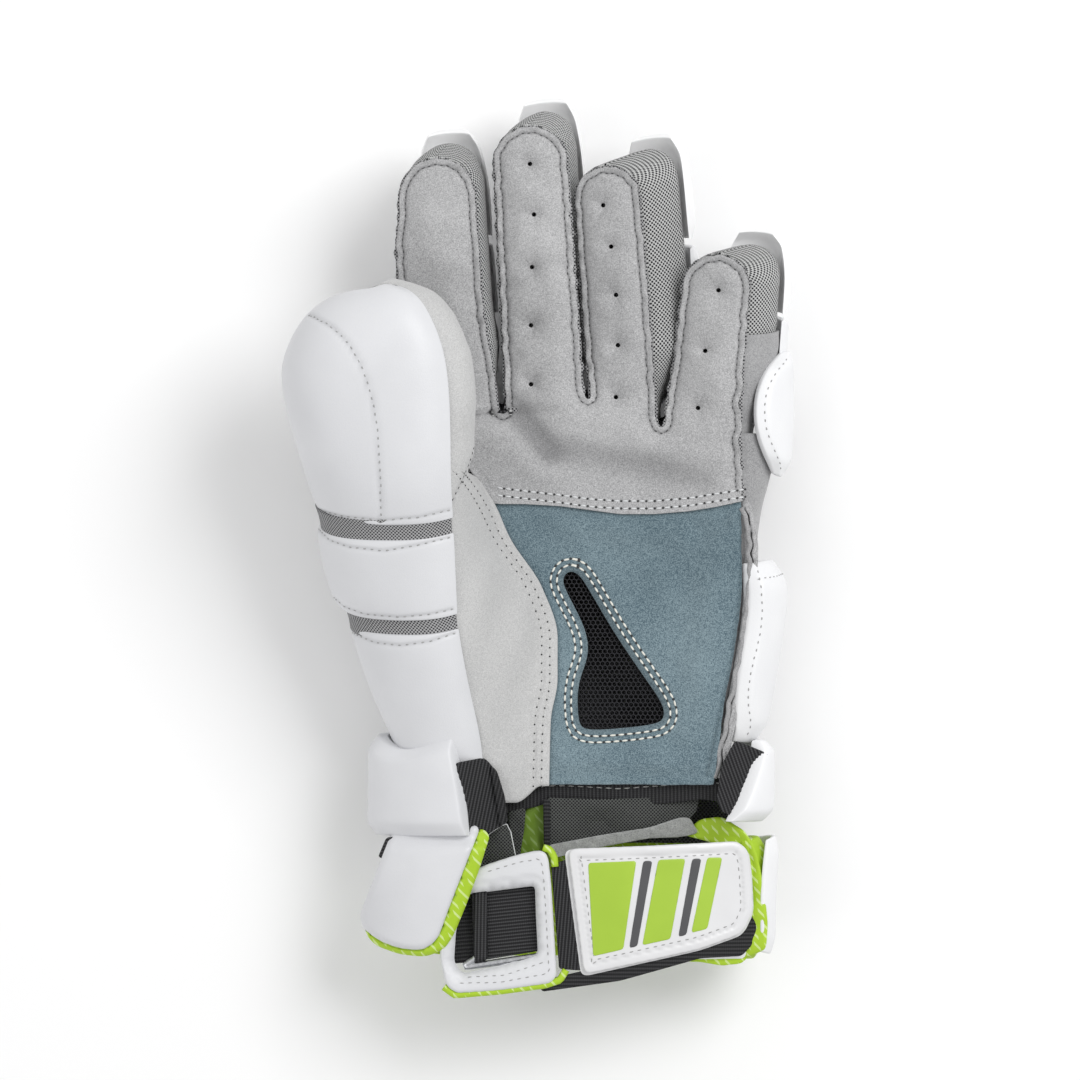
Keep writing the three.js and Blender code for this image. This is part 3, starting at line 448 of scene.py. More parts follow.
def ribbonFinish(name, thread, gap, period):  # woven tape: ribs run with u, picks across it
    made = Finish(name, Roughness=0.72)
    made.put("Specular IOR Level", 0.3)
    u, v, _ = made.split("UV")
    picks = (u * (math.tau / 0.8)).maths("SINE")
    ribs = (v * (math.tau / period)).maths("COSINE")
    height = ribs * 0.5 + picks * 0.22 + made.noise(2500, 2) * 0.35 + 0.35
    made.put("Base Color", made.blend(height.step(0.15, 1.15), gap, thread))
    made.bump(height, 0.0002, 0.8)
    return made.material


def dashFinish(name, ground, mark):  # lime cloth printed with slanting pale dashes
    made = Finish(name, Roughness=0.6)
    made.put("Specular IOR Level", 0.35)
    x, y, z = made.split("Object")
    first = ((x + y) * (math.tau / 0.0034)).maths("SINE")
    breaks = ((x - y + z) * (math.tau / 0.0105) + (x + y) * (math.pi / 0.0034)).maths("SINE")
    marks = first.step(0.45, 0.62) * breaks.step(-0.1, 0.05)
    weave = made.noise(2200, 2)
    colour = made.blend(marks * 0.8, ground, mark)
    made.put("Base Color", made.blend(weave.step(0.2, 0.9) * 0.22, colour, tuple(0.72 * v for v in ground)))
    made.bump(weave, 0.0001, 0.5)
    return made.material


def mouldedFinish(name, light, dark, roughness):
    made = Finish(name)
    made.put("Specular IOR Level", 0.5)
    cloud, grain = made.noise(45, 3), made.noise(1800, 2)
    colour = made.blend(cloud.step(0.3, 0.75), dark, light)
    made.put("Base Color", made.blend(made.worn("seam"), colour, tuple(0.5 * v for v in dark)))
    made.put("Roughness", cloud * 0.1 + (roughness - 0.05))
    made.bump(grain, 0.00003, 0.4)
    return made.material


def steelFinish(name):
    made = Finish(name, Metallic=1.0)
    brushed = made.noise(600, 4)
    made.put("Base Color", made.blend(brushed.step(0.3, 0.8), (0.52, 0.53, 0.55), (0.66, 0.67, 0.69)))
    made.put("Roughness", brushed * 0.2 + 0.2)
    made.bump(brushed, 0.00003, 0.5)
    return made.material


def threadFinish(name, light, dark):
    made = Finish(name, Roughness=0.55)
    made.put("Specular IOR Level", 0.35)
    fibre = made.noise(3200, 2)
    made.put("Base Color", made.blend(fibre.step(0.25, 0.75), dark, light))
    made.bump(fibre, 0.00008, 0.6)
    return made.material


looks = {
    "palmSuede": suedeFinish("palm_suede", (0.58, 0.58, 0.585), (0.25, 0.25, 0.255), (0.05, 0.05, 0.053), 0.33),
    "sideSuede": suedeFinish("side_suede", (0.45, 0.45, 0.455), (0.2, 0.2, 0.205), (0.05, 0.05, 0.053)),
    # painted light: the lightest copy of the white leather, for the finger tip pads whose faces lie in shade
    "tipLeather": leatherFinish("tip_leather", (0.93, 0.93, 0.935), (0.9, 0.9, 0.905), 0.45),
    "thumbSuede": suedeFinish("thumb_suede", (0.63, 0.63, 0.625), (0.4, 0.4, 0.4), (0.16, 0.16, 0.16)),
    "blueSuede": suedeFinish("blue_suede", (0.26, 0.345, 0.38), (0.045, 0.085, 0.112), (0.03, 0.05, 0.06), 0.3),
    "whiteLeather": leatherFinish("white_leather", (0.70, 0.705, 0.725), (0.645, 0.65, 0.67), 0.4),
    "greyKnit": knitFinish("grey_knit", (0.56, 0.565, 0.56), (0.016, 0.016, 0.019), 1.65),
    "bandKnit": knitFinish("band_knit", (0.42, 0.42, 0.425), (0.03, 0.03, 0.034), 1.35),
    "liningKnit": knitFinish("lining_knit", (0.1, 0.105, 0.1), (0.012, 0.012, 0.013), 1.3),
    # painted light: a lighter copy of the white leather for the pieces that sit in more shade
    "brightLeather": leatherFinish("bright_leather", (0.84, 0.845, 0.855), (0.79, 0.795, 0.81), 0.4),
    "paleFelt": suedeFinish("pale_felt", (0.45, 0.455, 0.45), (0.2, 0.205, 0.2), (0.1, 0.1, 0.1)),
    "charcoal": mouldedFinish("charcoal_rubber", (0.075, 0.075, 0.08), (0.06, 0.06, 0.065), 0.5),
    "darkKnit": knitFinish("dark_knit", (0.075, 0.075, 0.08), (0.012, 0.012, 0.014), 1.6),
    "blackNet": threadFinish("black_net", (0.022, 0.022, 0.027), (0.008, 0.008, 0.01)),
    "blackTape": ribbonFinish("black_tape", (0.04, 0.04, 0.042), (0.008, 0.008, 0.009), 1.4),
    "blackElastic": ribbonFinish("black_elastic", (0.055, 0.055, 0.058), (0.008, 0.008, 0.009), 1.25),
    "limeCloth": dashFinish("lime_cloth", (0.40, 0.60, 0.028), (0.68, 0.82, 0.36)),
    # painted shade: a darker copy of the lime cloth for the lining piece that lies in shade
    "limeShade": dashFinish("lime_shade", (0.14, 0.24, 0.02), (0.26, 0.38, 0.12)),
    "limeRubber": mouldedFinish("lime_rubber", (0.37, 0.56, 0.04), (0.34, 0.52, 0.035), 0.42),
    "whiteRubber": mouldedFinish("white_rubber", (0.74, 0.74, 0.75), (0.69, 0.69, 0.70), 0.32),
    "steel": steelFinish("steel_loop"),
    "creamThread": threadFinish("cream_thread", (0.86, 0.855, 0.79), (0.68, 0.67, 0.6)),
    "greyThread": threadFinish("grey_thread", (0.42, 0.42, 0.41), (0.28, 0.28, 0.28)),
    "whiteThread": threadFinish("white_thread", (0.74, 0.75, 0.76), (0.6, 0.61, 0.62)),
    "thumbThread": threadFinish("thumb_thread", (0.66, 0.66, 0.65), (0.5, 0.5, 0.49)),
    "blueThread": threadFinish("blue_thread", (0.14, 0.2, 0.23), (0.08, 0.12, 0.14)),
    # painted shade: dark dots that stand for the shade in needle holes beside the stitches
    "needleHole": threadFinish("needle_hole", (0.05, 0.05, 0.052), (0.025, 0.025, 0.026)),
}
print("finishes made:", len(looks))


# Meshes
def signedVolume(points, faces):
    total = 0.0
    for face in faces:
        a = points[face[0]]
        for i in range(1, len(face) - 1):
            total += np.dot(a, np.cross(points[face[i]], points[face[i + 1]]))
    return total


def meshPiece(name, points, faces, look, uv=None, marks=None):
    points = np.asarray(points, float).reshape(-1, 3)
    faces = [list(map(int, face)) for face in faces]
    if signedVolume(points, faces) < 0:
        faces = [face[::-1] for face in faces]
    mesh = bpy.data.meshes.new(name)
    mesh.from_pydata(toFrame(points).tolist(), [], faces)
    mesh.materials.append(looks[look])
    mesh.shade_smooth()
    if uv is not None:
        corners = np.empty(len(mesh.loops), int)
        mesh.loops.foreach_get("vertex_index", corners)
        layer = mesh.uv_layers.new(name="UVMap")
        layer.data.foreach_set("uv", np.asarray(uv, float).reshape(-1, 2)[corners].ravel())
    # the seam attribute darkens the colour: along seams, and on the palm and heel it also holds painted shade
    seam = mesh.attributes.new("seam", "FLOAT", "POINT")
    if marks is not None:
        seam.data.foreach_set("value", np.asarray(marks, float).ravel())
    obj = bpy.data.objects.new(name, mesh)
    bpy.context.scene.collection.objects.link(obj)
    obj["look"] = look
    return obj


def keep(obj, *nodes):
    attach(obj, "root")
    if nodes:
        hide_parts(*nodes)
    return obj


def plain(obj):  # the evaluated mesh, with no modifier left
    graph = bpy.context.evaluated_depsgraph_get()
    mesh = bpy.data.meshes.new_from_object(obj.evaluated_get(graph), preserve_all_data_layers=True, depsgraph=graph)
    old = obj.data
    obj.modifiers.clear()
    obj.data = mesh
    mesh.name = obj.name
    bpy.data.meshes.remove(old)
    return obj


def softened(obj, level):
    mod = obj.modifiers.new("soft", "SUBSURF")
    mod.levels = mod.render_levels = level
    plain(obj)
    obj.data.shade_smooth()
    return obj


def coordsOf(obj):
    points = np.empty(len(obj.data.vertices) * 3)
    obj.data.vertices.foreach_get("co", points)
    return points.reshape(-1, 3) * 1000 - shift


def setCoords(obj, points):
    obj.data.vertices.foreach_set("co", toFrame(points).ravel())
    obj.data.update()


def arcUv(grid):  # lengths along the rows and columns of a grid, in millimetres
    down = np.linalg.norm(np.diff(grid, axis=0), axis=-1)
    side = np.linalg.norm(np.diff(grid, axis=1), axis=-1)
    rows, cols = grid.shape[:2]
    v = np.zeros((rows, cols))
    u = np.zeros((rows, cols))
    v[1:] = np.cumsum(down.mean(1))[:, None]
    u[:, 1:] = np.cumsum(side, axis=1)
    u -= u[:, cols // 2][:, None]
    return np.stack([u, v], -1)


def gridFaces(rows, cols, base=0):
    i, j = np.meshgrid(np.arange(rows - 1), np.arange(cols - 1), indexing="ij")
    a = base + i * cols + j
    return np.stack([a, a + cols, a + cols + 1, a + 1], -1).reshape(-1, 4)


def borderOf(rows, cols):
    ring = [(0, j) for j in range(cols - 1)] + [(i, cols - 1) for i in range(rows - 1)]
    ring += [(rows - 1, j) for j in range(cols - 1, 0, -1)] + [(i, 0) for i in range(rows - 1, 0, -1)]
    return np.array([i * cols + j for i, j in ring])


def shellPiece(name, outer, inner, look):
    rows, cols = outer.shape[:2]
    total = rows * cols
    ring = borderOf(rows, cols)
    after = np.roll(ring, -1)
    faces = np.concatenate([gridFaces(rows, cols), gridFaces(rows, cols, total)[:, ::-1],
                            np.stack([ring, after, after + total, ring + total], -1)])
    both = np.concatenate([outer.reshape(-1, 3), inner.reshape(-1, 3)])
    return meshPiece(name, both, faces, look, np.concatenate([arcUv(outer).reshape(-1, 2)] * 2))


def gridNormals(grid):
    return unit(np.cross(np.gradient(grid, axis=0), np.gradient(grid, axis=1)))


def skinPiece(name, inner, thickness, look, relief=None, closeTo=None):
    normal = gridNormals(inner)
    if closeTo is not None:  # the last rows face along a closed tip, so that its two sides meet
        share = smooth((np.arange(len(inner)) - len(inner) + 9) / 8)[:, None, None]
        side = 1 if np.sum(normal[-6] * closeTo) > 0 else -1
        normal = unit(lerp(normal, side * closeTo, share))
    raise_ = thickness if relief is None else thickness + relief
    outer = inner + normal * (raise_[..., None] if isinstance(raise_, np.ndarray) else raise_)
    return shellPiece(name, outer, inner, look)


# Flat outlines filled with small triangles
def resample(path, spacing, closed=True):
    path = np.asarray(path, float)
    if closed:
        path = np.concatenate([path, path[:1]])
    lengths = np.concatenate([[0], np.cumsum(np.linalg.norm(np.diff(path, axis=0), axis=1))])
    count = max(int(round(lengths[-1] / spacing)), 4)
    at = np.linspace(0, lengths[-1], count + 1)
    if closed:
        at = at[:-1]
    return np.stack([np.interp(at, lengths, path[:, k]) for k in range(path.shape[1])], 1)


def insideLoop(loop, points):
    found = np.zeros(len(points), bool)
    a, b = loop, np.roll(loop, -1, 0)
    for start in range(0, len(points), 4000):
        x, y = points[start:start + 4000, 0, None], points[start:start + 4000, 1, None]
        crossing = (a[:, 1] > y) != (b[:, 1] > y)
        rise = np.where(b[:, 1] == a[:, 1], 1e-9, b[:, 1] - a[:, 1])
        reach = (b[:, 0] - a[:, 0]) * (y - a[:, 1]) / rise + a[:, 0]
        found[start:start + 4000] = (crossing & (x < reach)).sum(1) % 2 == 1
    return found


def edgeTree(loops, spacing=0.25):
    spots = np.concatenate([resample(loop, spacing) for loop in loops])
    tree = KDTree(len(spots))
    for i, spot in enumerate(spots):
        tree.insert((spot[0], spot[1], 0), i)
    tree.balance()
    return tree


def distanceTo(tree, points):
    return np.array([tree.find((p[0], p[1], 0))[2] for p in points])


def offsetLoop(loop, inward):
    ahead = np.roll(loop, -1, 0) - np.roll(loop, 1, 0)
    normal = unit(np.stack([-ahead[:, 1], ahead[:, 0]], 1))
    area = np.sum(loop[:, 0] * np.roll(loop[:, 1], -1) - np.roll(loop[:, 0], -1) * loop[:, 1])
    return loop + normal * inward * np.sign(area)


def turnBy(x, y, degrees):  # a texture's own axes, turned with its piece
    c, s = math.cos(math.radians(degrees)), math.sin(math.radians(degrees))
    return x * c + y * s, y * c - x * s


def panelPiece(name, outline, look, top, under, rings, holes=(), spacing=1.7, edge=1.0, seamMark=None, turn=0):
    loops = [resample(outline, edge)] + [np.asarray(h) for h in holes]
    tree = edgeTree(loops)
    spots, edges = [], []
    for loop in loops:
        base = sum(len(s) for s in spots)
        spots.append(loop)
        edges += [(base + i, base + (i + 1) % len(loop)) for i in range(len(loop))]
    low, high = loops[0].min(0), loops[0].max(0)
    hexX = np.arange(low[0], high[0], spacing)
    hexY = np.arange(low[1], high[1], spacing * 0.866)
    fill = np.array([(x + (k % 2) * spacing / 2, y) for k, y in enumerate(hexY) for x in hexX])
    fill = fill[insideLoop(loops[0], fill)]
    fill = fill[distanceTo(tree, fill) > rings[-1] + spacing * 0.6]
    for inward in rings:
        ring = offsetLoop(loops[0], inward)
        ring = ring[insideLoop(loops[0], ring)]
        fill = np.concatenate([fill, ring[distanceTo(tree, ring) > inward * 0.93]])
    for hole in loops[1:]:
        fill = fill[~insideLoop(hole, fill)]
    spots.append(fill)
    flat = [Vector(p) for p in np.concatenate(spots)]
    verts, _, faces, _, _, _ = delaunay_2d_cdt(flat, edges, [], 0, 1e-5)
    verts = np.array([(v[0], v[1]) for v in verts])
    faces = np.array([f for f in faces if len(f) == 3])
    middle = verts[faces].mean(1)
    held = insideLoop(loops[0], middle)
    for hole in loops[1:]:
        held &= ~insideLoop(hole, middle)
    faces = faces[held]
    used = np.unique(faces)
    index = np.full(len(verts), -1)
    index[used] = np.arange(len(used))
    verts, faces = verts[used], index[faces]
    outside = distanceTo(tree, verts)
    x, y = verts[:, 0], verts[:, 1]
    upper = np.stack([x, y, top(x, y, outside)], 1)
    lower = np.stack([x, y, under(x, y, outside)], 1)
    count = len(verts)
    a, b, c = verts[faces[:, 0]], verts[faces[:, 1]], verts[faces[:, 2]]
    turned = (b[:, 0] - a[:, 0]) * (c[:, 1] - a[:, 1]) - (b[:, 1] - a[:, 1]) * (c[:, 0] - a[:, 0]) < 0
    faces[turned] = faces[turned][:, ::-1]
    sides = np.concatenate([faces[:, [0, 1]], faces[:, [1, 2]], faces[:, [2, 0]]])
    known = set(map(tuple, sides.tolist()))
    rim = [(p, q) for p, q in sides.tolist() if (q, p) not in known]
    allFaces = faces.tolist() + (faces[:, ::-1] + count).tolist() + [[q, p, p + count, q + count] for p, q in rim]
    marks = None if seamMark is None else np.concatenate([seamMark(x, y, outside)] * 2)
    return meshPiece(name, np.concatenate([upper, lower]), allFaces, look,
                     np.concatenate([np.stack(turnBy(x, y, turn), 1)] * 2), marks)


# Foam pads: a cage over seat(x, y), rounded by subdivision
padLines = np.array([-1, -0.965, -0.78, -0.7, -0.3, 0.3, 0.7, 0.78, 0.965, 1])
softPads = {"pressure": 2.2, "frames": 12, "cap": 1.1, "shrink": 0.8}


def chamfered(t):  # a flat top with a slanting edge
    return 1 - 0.5 * np.clip((np.abs(t) - 0.74) / 0.26, 0, 1)


def squared(t):  # full height up to a sewn edge
    return 1 - 0.16 * smooth((np.abs(t) - 0.86) / 0.14)


def padCage(seat, push, thickness, round_, xs, ys, sides, ends):
    x, y = np.meshgrid(xs, ys, indexing="ij")
    corner = round_(x, y) if callable(round_) else round_
    u, v = x * np.sqrt(1 - corner * y * y / 2), y * np.sqrt(1 - corner * x * x / 2)
    tall = thickness(u, v) if callable(thickness) else thickness
    return seat(u, v), push(u, v) * (tall * sides(x) * ends(y))[..., None]


def foamPad(name, seat, push, thickness, round_, node, look="whiteLeather", xs=padLines, ys=padLines,
            onFloor=False, level=2, bulge=0.4, puff=True, fill=0.8, sides=chamfered, ends=chamfered):
    base, tall = padCage(seat, push, thickness, round_, xs, ys, sides, ends)
    rows, cols = base.shape[:2]
    total = rows * cols
    ring = borderOf(rows, cols)
    middle = base.reshape(-1, 3).mean(0)
    flatBase, flatTall = base.reshape(-1, 3), tall.reshape(-1, 3)
    out = unit(flatBase[ring] - middle) * bulge
    walls = [flatBase[ring] + flatTall[ring] * h + out * k for h, k in ((0.72, 1.0), (0.28, 0.8))]
    points = np.concatenate([flatBase + flatTall, flatBase] + walls)
    faces = [gridFaces(rows, cols), gridFaces(rows, cols, total)[:, ::-1]]
    loops = [ring, 2 * total + np.arange(len(ring)), 2 * total + len(ring) + np.arange(len(ring)), total + ring]
    for above, below in zip(loops, loops[1:]):
        faces.append(np.stack([above, np.roll(above, -1), np.roll(below, -1), below], -1))
    obj = meshPiece(name, points, np.concatenate(faces), look)
    held = obj.vertex_groups.new(name="held")
    pinned = list(range(total, 2 * total)) + list(range(2 * total + len(ring), 2 * total + 2 * len(ring)))
    held.add([int(i) for i in pinned], 1.0, "REPLACE")
    softened(obj, 1)
    if puff:
        puffUp(obj)
    softened(obj, level - 1)
    points = coordsOf(obj)
    if onFloor:
        points[:, 2] = np.maximum(points[:, 2], stock["floorCut"])
    setCoords(obj, points)
    obj.vertex_groups.clear()
    keep(obj, node)
    return obj


def puffUp(obj):  # a short cloth run under pressure, with the sewn base held
    before = coordsOf(obj)
    cloth = obj.modifiers.new("puff", "CLOTH")
    cloth.settings.quality = 3
    cloth.settings.mass = 0.2
    cloth.settings.tension_stiffness = cloth.settings.compression_stiffness = 12
    cloth.settings.bending_stiffness = 0.6
    cloth.settings.use_pressure = True
    cloth.settings.uniform_pressure_force = softPads["pressure"]
    cloth.settings.vertex_group_mass = "held"
    cloth.settings.effector_weights.gravity = 0
    cloth.collision_settings.use_collision = False
    scene = bpy.context.scene
    for frameNumber in range(1, softPads["frames"] + 1):
        scene.frame_set(frameNumber)
    plain(obj)
    scene.frame_set(1)
    moved = coordsOf(obj) - before
    length = np.linalg.norm(moved, axis=1, keepdims=True)
    moved *= np.minimum(1, softPads["cap"] / np.maximum(length, 1e-9))
    setCoords(obj, before + moved)


def topOf(obj):  # for laying stitches on a finished piece from above or from its outside
    points = coordsOf(obj)
    faces = [list(p.vertices) for p in obj.data.polygons]
    return BVHTree.FromPolygons(points.tolist(), faces)


def drape(tree, path, lift):  # a flat path dropped on a piece from above
    laid = []
    for x, y in path:
        spot, normal, _, _ = tree.ray_cast(Vector((x, y, 300)), Vector((0, 0, -1)))
        if spot is not None:
            laid.append(np.array(spot) + np.array(normal) * lift)
    return np.array(laid)


def nearest(tree, path, lift):  # a path moved to the closest places on a piece
    laid = []
    for p in path:
        spot, normal, _, _ = tree.find_nearest(Vector(p))
        laid.append(np.array(spot) + np.array(normal) * lift)
    return np.array(laid)


def engrave(obj, path, depth, width, shade):  # a sewn line pulled into a finished pad
    path = resample(path, 0.5, closed=False)
    spots = KDTree(len(path))
    for i, spot in enumerate(path):
        spots.insert(spot, i)
    spots.balance()
    points = coordsOf(obj)
    normals = np.empty(len(points) * 3)
    obj.data.vertices.foreach_get("normal", normals)
    far = np.array([spots.find(p)[2] for p in points])
    share = np.exp(-(far / width) ** 2)
    setCoords(obj, points - normals.reshape(-1, 3) * (share * depth)[:, None])
    seam = obj.data.attributes["seam"]
    marks = np.empty(len(points), np.float32)
    seam.data.foreach_get("value", marks)
    seam.data.foreach_set("value", np.maximum(marks, share * shade).astype(np.float32))


def sewOn(obj, path, style, depth, width, shade=0.25):  # a groove with stitches in it
    engrave(obj, path, depth, width, shade)
    sew(style, nearest(topOf(obj), resample(path, 0.8, closed=False), 0.05))


# Stitches along edge chains, as a node tree
def groupTree(name, sockets, kinds):  # an empty node group with named inputs, and its nodes
    tree = bpy.data.node_groups.new(name, "GeometryNodeTree")
    for socket, kind in {"Geometry": "Geometry", **sockets}.items():
        tree.interface.new_socket(socket, in_out="INPUT", socket_type="NodeSocket" + kind)
    tree.interface.new_socket("Geometry", in_out="OUTPUT", socket_type="NodeSocketGeometry")
    kinds = {"source": "NodeGroupInput", "target": "NodeGroupOutput", **kinds}
    return tree, {key: tree.nodes.new(kind) for key, kind in kinds.items()}


def linked(tree, nodes, *links):
    for start, output, end, socket in links:
        tree.links.new(nodes[start].outputs[output], nodes[end].inputs[socket])
    return tree


def stitchTree():
    tree, nodes = groupTree(
        "stitch_row",
        {"Pitch": "Float", "Stitch Length": "Float", "Thickness": "Float", "Wander": "Float", "Hole Size": "Float",
         "Seed": "Int", "Thread": "Material", "Hole": "Material"},
        {"curve": "GeometryNodeMeshToCurve", "spaced": "GeometryNodeResampleCurve",
         "ball": "GeometryNodeMeshUVSphere", "size": "ShaderNodeCombineXYZ", "shaped": "GeometryNodeTransform",
         "shade": "GeometryNodeSetShadeSmooth", "tangent": "GeometryNodeInputTangent",
         "turn": "FunctionNodeAlignRotationToVector", "jitter": "FunctionNodeRandomValue",
         "spread": "ShaderNodeVectorMath", "turned": "FunctionNodeRotateRotation",
         "bend": "FunctionNodeEulerToRotation", "place": "GeometryNodeInstanceOnPoints",
         "real": "GeometryNodeRealizeInstances", "paint": "GeometryNodeSetMaterial", "half": "ShaderNodeMath",
         "ahead": "ShaderNodeVectorMath", "moved": "GeometryNodeSetPosition",
         "holes": "GeometryNodeInstanceOnPoints", "round": "GeometryNodeTransform",
         "holeSize": "ShaderNodeCombineXYZ", "realHoles": "GeometryNodeRealizeInstances",
         "paintHoles": "GeometryNodeSetMaterial", "both": "GeometryNodeJoinGeometry"})
    if hasattr(nodes["spaced"], "mode"):
        nodes["spaced"].mode = "LENGTH"
    for key, value in (("Segments", 6), ("Rings", 5), ("Radius", 0.5)):
        nodes["ball"].inputs[key].default_value = value
    nodes["turn"].axis = "Z"
    nodes["jitter"].data_type = "FLOAT_VECTOR"
    nodes["jitter"].inputs[0].default_value = (-1, -1, -1)
    nodes["jitter"].inputs[1].default_value = (1, 1, 1)
    nodes["spread"].operation = nodes["ahead"].operation = "SCALE"
    nodes["half"].operation = "MULTIPLY"
    nodes["half"].inputs[1].default_value = 0.5
    return linked(
        tree, nodes,
        ("source", "Geometry", "curve", "Mesh"), ("curve", "Curve", "spaced", "Curve"),
        ("source", "Pitch", "spaced", "Length"), ("source", "Thickness", "size", 0),
        ("source", "Thickness", "size", 1), ("source", "Stitch Length", "size", 2),
        ("ball", "Mesh", "shade", "Geometry"), ("shade", "Geometry", "shaped", "Geometry"),
        ("size", 0, "shaped", "Scale"), ("spaced", "Curve", "place", "Points"),
        ("shaped", "Geometry", "place", "Instance"), ("tangent", 0, "turn", "Vector"),
        ("source", "Seed", "jitter", "Seed"), ("jitter", 0, "spread", 0), ("source", "Wander", "spread", "Scale"),
        ("spread", 0, "bend", 0), ("turn", 0, "turned", "Rotation"), ("bend", 0, "turned", "Rotate By"),
        ("turned", 0, "place", "Rotation"), ("place", "Instances", "real", "Geometry"),
        ("real", "Geometry", "paint", "Geometry"), ("source", "Thread", "paint", "Material"),
        # needle holes, as dark dots of painted shade, half a pitch further on
        ("source", "Pitch", "half", 0), ("tangent", 0, "ahead", 0), ("half", 0, "ahead", "Scale"),
        ("spaced", "Curve", "moved", "Geometry"), ("ahead", 0, "moved", "Offset"),
        ("source", "Hole Size", "holeSize", 0), ("source", "Hole Size", "holeSize", 1),
        ("source", "Hole Size", "holeSize", 2), ("shade", "Geometry", "round", "Geometry"),
        ("holeSize", 0, "round", "Scale"), ("moved", "Geometry", "holes", "Points"),
        ("round", "Geometry", "holes", "Instance"), ("holes", "Instances", "realHoles", "Geometry"),
        ("realHoles", "Geometry", "paintHoles", "Geometry"), ("source", "Hole", "paintHoles", "Material"),
        ("paint", "Geometry", "both", "Geometry"), ("paintHoles", "Geometry", "both", "Geometry"),
        ("both", "Geometry", "target", "Geometry"))


stitchNodes = stitchTree()


def nodePiece(name, mesh, look, tree, inputs):  # a plain mesh made by a node tree from points, edges and faces
    start = bpy.data.meshes.new(name)
    start.from_pydata(*mesh)
    start.materials.append(looks[look])
    obj = bpy.data.objects.new(name, start)
    bpy.context.scene.collection.objects.link(obj)
    obj["look"] = look
    mod = obj.modifiers.new("made", "NODES")
    mod.node_group = tree
    for socket in tree.interface.items_tree:
        if socket.in_out == "INPUT" and socket.name in inputs:
            mod[socket.identifier] = inputs[socket.name]
    return plain(obj)


def stitchPiece(name, paths, look, pitch, length, thick, hole=0.02):
    points, edges = [], []
    for path in paths:
        if len(path) < 2:
            continue
        base = len(points)
        points += toFrame(path).tolist()
        edges += [(base + i, base + i + 1) for i in range(len(path) - 1)]
    made = nodePiece(name, (points, edges, []), look, stitchNodes, {
        "Pitch": pitch / 1000, "Stitch Length": length / 1000, "Thickness": thick / 1000, "Wander": 0.08,
        "Hole Size": hole / 1000, "Seed": 3, "Thread": looks[look], "Hole": looks["needleHole"]})
    return keep(made)


stitchPaths = {}  # look and style -> list of paths, made into one piece each at the end


def sew(style, *paths):
    stitchPaths.setdefault(style, []).extend(np.asarray(p) for p in paths if len(p) > 1)


# The palm's leather with its four finger faces
palm = {"crown": 1.0, "groove": 0.7, "seamInset": 2.2, "edgeWave": 0.3, "sideWave": 0.75, "creases": 0.5,
        "holes": 0.85, "lapRise": 1.0}
# soft folds of the palm, creased with use, with painted shade in their valleys: ends in the photograph, height and
# half width in millimetres
palmFolds = [((512, 405), (548, 452), -1.5, 5.5), ((505, 440), (545, 478), 0.9, 6),
             ((560, 405), (720, 452), 1.1, 7), ((655, 436), (738, 446), -1.0, 3.5),
             ((575, 448), (700, 478), -0.8, 6), ((525, 190), (560, 300), 0.5, 5), ((600, 210), (632, 330), 0.4, 4),
             ((425, 200), (455, 330), 0.5, 5), ((505, 285), (560, 262), -0.5, 3), ((690, 320), (720, 400), 0.4, 4)]
foldRise = 1.9  # every fold's height is raised by this


def forkLine(i):
    return hand["knuckles"] + fingers[i]["fork"]


def palmOutline(grow=0.0):
    path = []
    for i, f in enumerate(fingers):
        low = (48.2 if i == 0 else forkLine(i) + 2.5) - f["rootY"]
        lowRight = (forkLine(i + 1) + 2.5 if i < 3 else handEnd + 2) - f["rootY"]
        tip = f["length"] - fingerShape["round"] * f["width"]
        round_ = fingerShape["round"] * f["width"] * np.sin(np.linspace(0, math.pi / 2, 14))[1:]
        up = np.concatenate([np.linspace(low, tip, 40), tip + round_])
        down = np.concatenate([np.linspace(lowRight, tip, 40), tip + round_])[::-1]
        out = 2.6 * np.exp(-((up - 57) / 17) ** 2) if i == 0 else 0
        path += list(facePoint(f, up, -faceHalf(f, up) - grow - out, 0)[:, :2])
        path += list(facePoint(f, down, faceHalf(f, down) + grow, 0)[1:, :2])
        if i < 3:
            a = path[-1]
            g = fingers[i + 1]
            s = forkLine(i + 1) + 2.5 - g["rootY"]
            b = facePoint(g, s, -faceHalf(g, s) - grow, 0)[:2]
            for t in np.linspace(0, math.pi, 9)[1:-1]:
                mid, half = (a + b) / 2, (b - a) / 2
                path.append(mid - half * math.cos(t) + np.array([0, -2.6 * math.sin(t)]))
    ys = np.linspace(handEnd, 17.5, 20)
    path += [np.array([palmRight(y) + grow, y]) for y in ys]
    path += list(placesOf((743, 500), (715, 506), (690, 510), (655, 513), (620, 513), (590, 509), (560, 505),
                          (525, 503), (503, 503)) - np.array([0, 0.4]))
    ys = np.linspace(15.6, 47.6, 24)
    path += [np.array([thumbSeam(y) + 0.9 - grow, y]) for y in ys]
    return np.array(path)


def waved(outline, amount, scale, seed):
    loop = resample(outline, 0.8)
    return offsetLoop(loop, (ripple(loop[:, 0], loop[:, 1], scale, seed) * amount)[:, None])


def palmHeight(x, y):
    height = handFace(x)
    best = np.full(np.shape(x), 1e9)
    for i, f in enumerate(fingers):
        dx, dy = x - f["rootX"], y - f["rootY"]
        s = dx * f["along"][0] + dy * f["along"][1]
        u = dx * f["across"][0] + dy * f["across"][1]
        off = np.abs(u) / (f["width"] / 2)
        mine = (s > 0) & (off < best)
        height = np.where(mine, fingerFace(f, s, u), height)
        best = np.where(mine, off, best)
    return height


def palmSeamWeight(x, y):  # the sewn edge runs round the fingers and down the right side
    bottom = smooth((y - 19) / 4)
    side = smooth((x - (thumbSeam(np.clip(y, 14, 48)) + 6)) / 4)
    return np.where(y > 49, 1.0, bottom * lerp(side, 1, smooth((y - 44) / 5)))


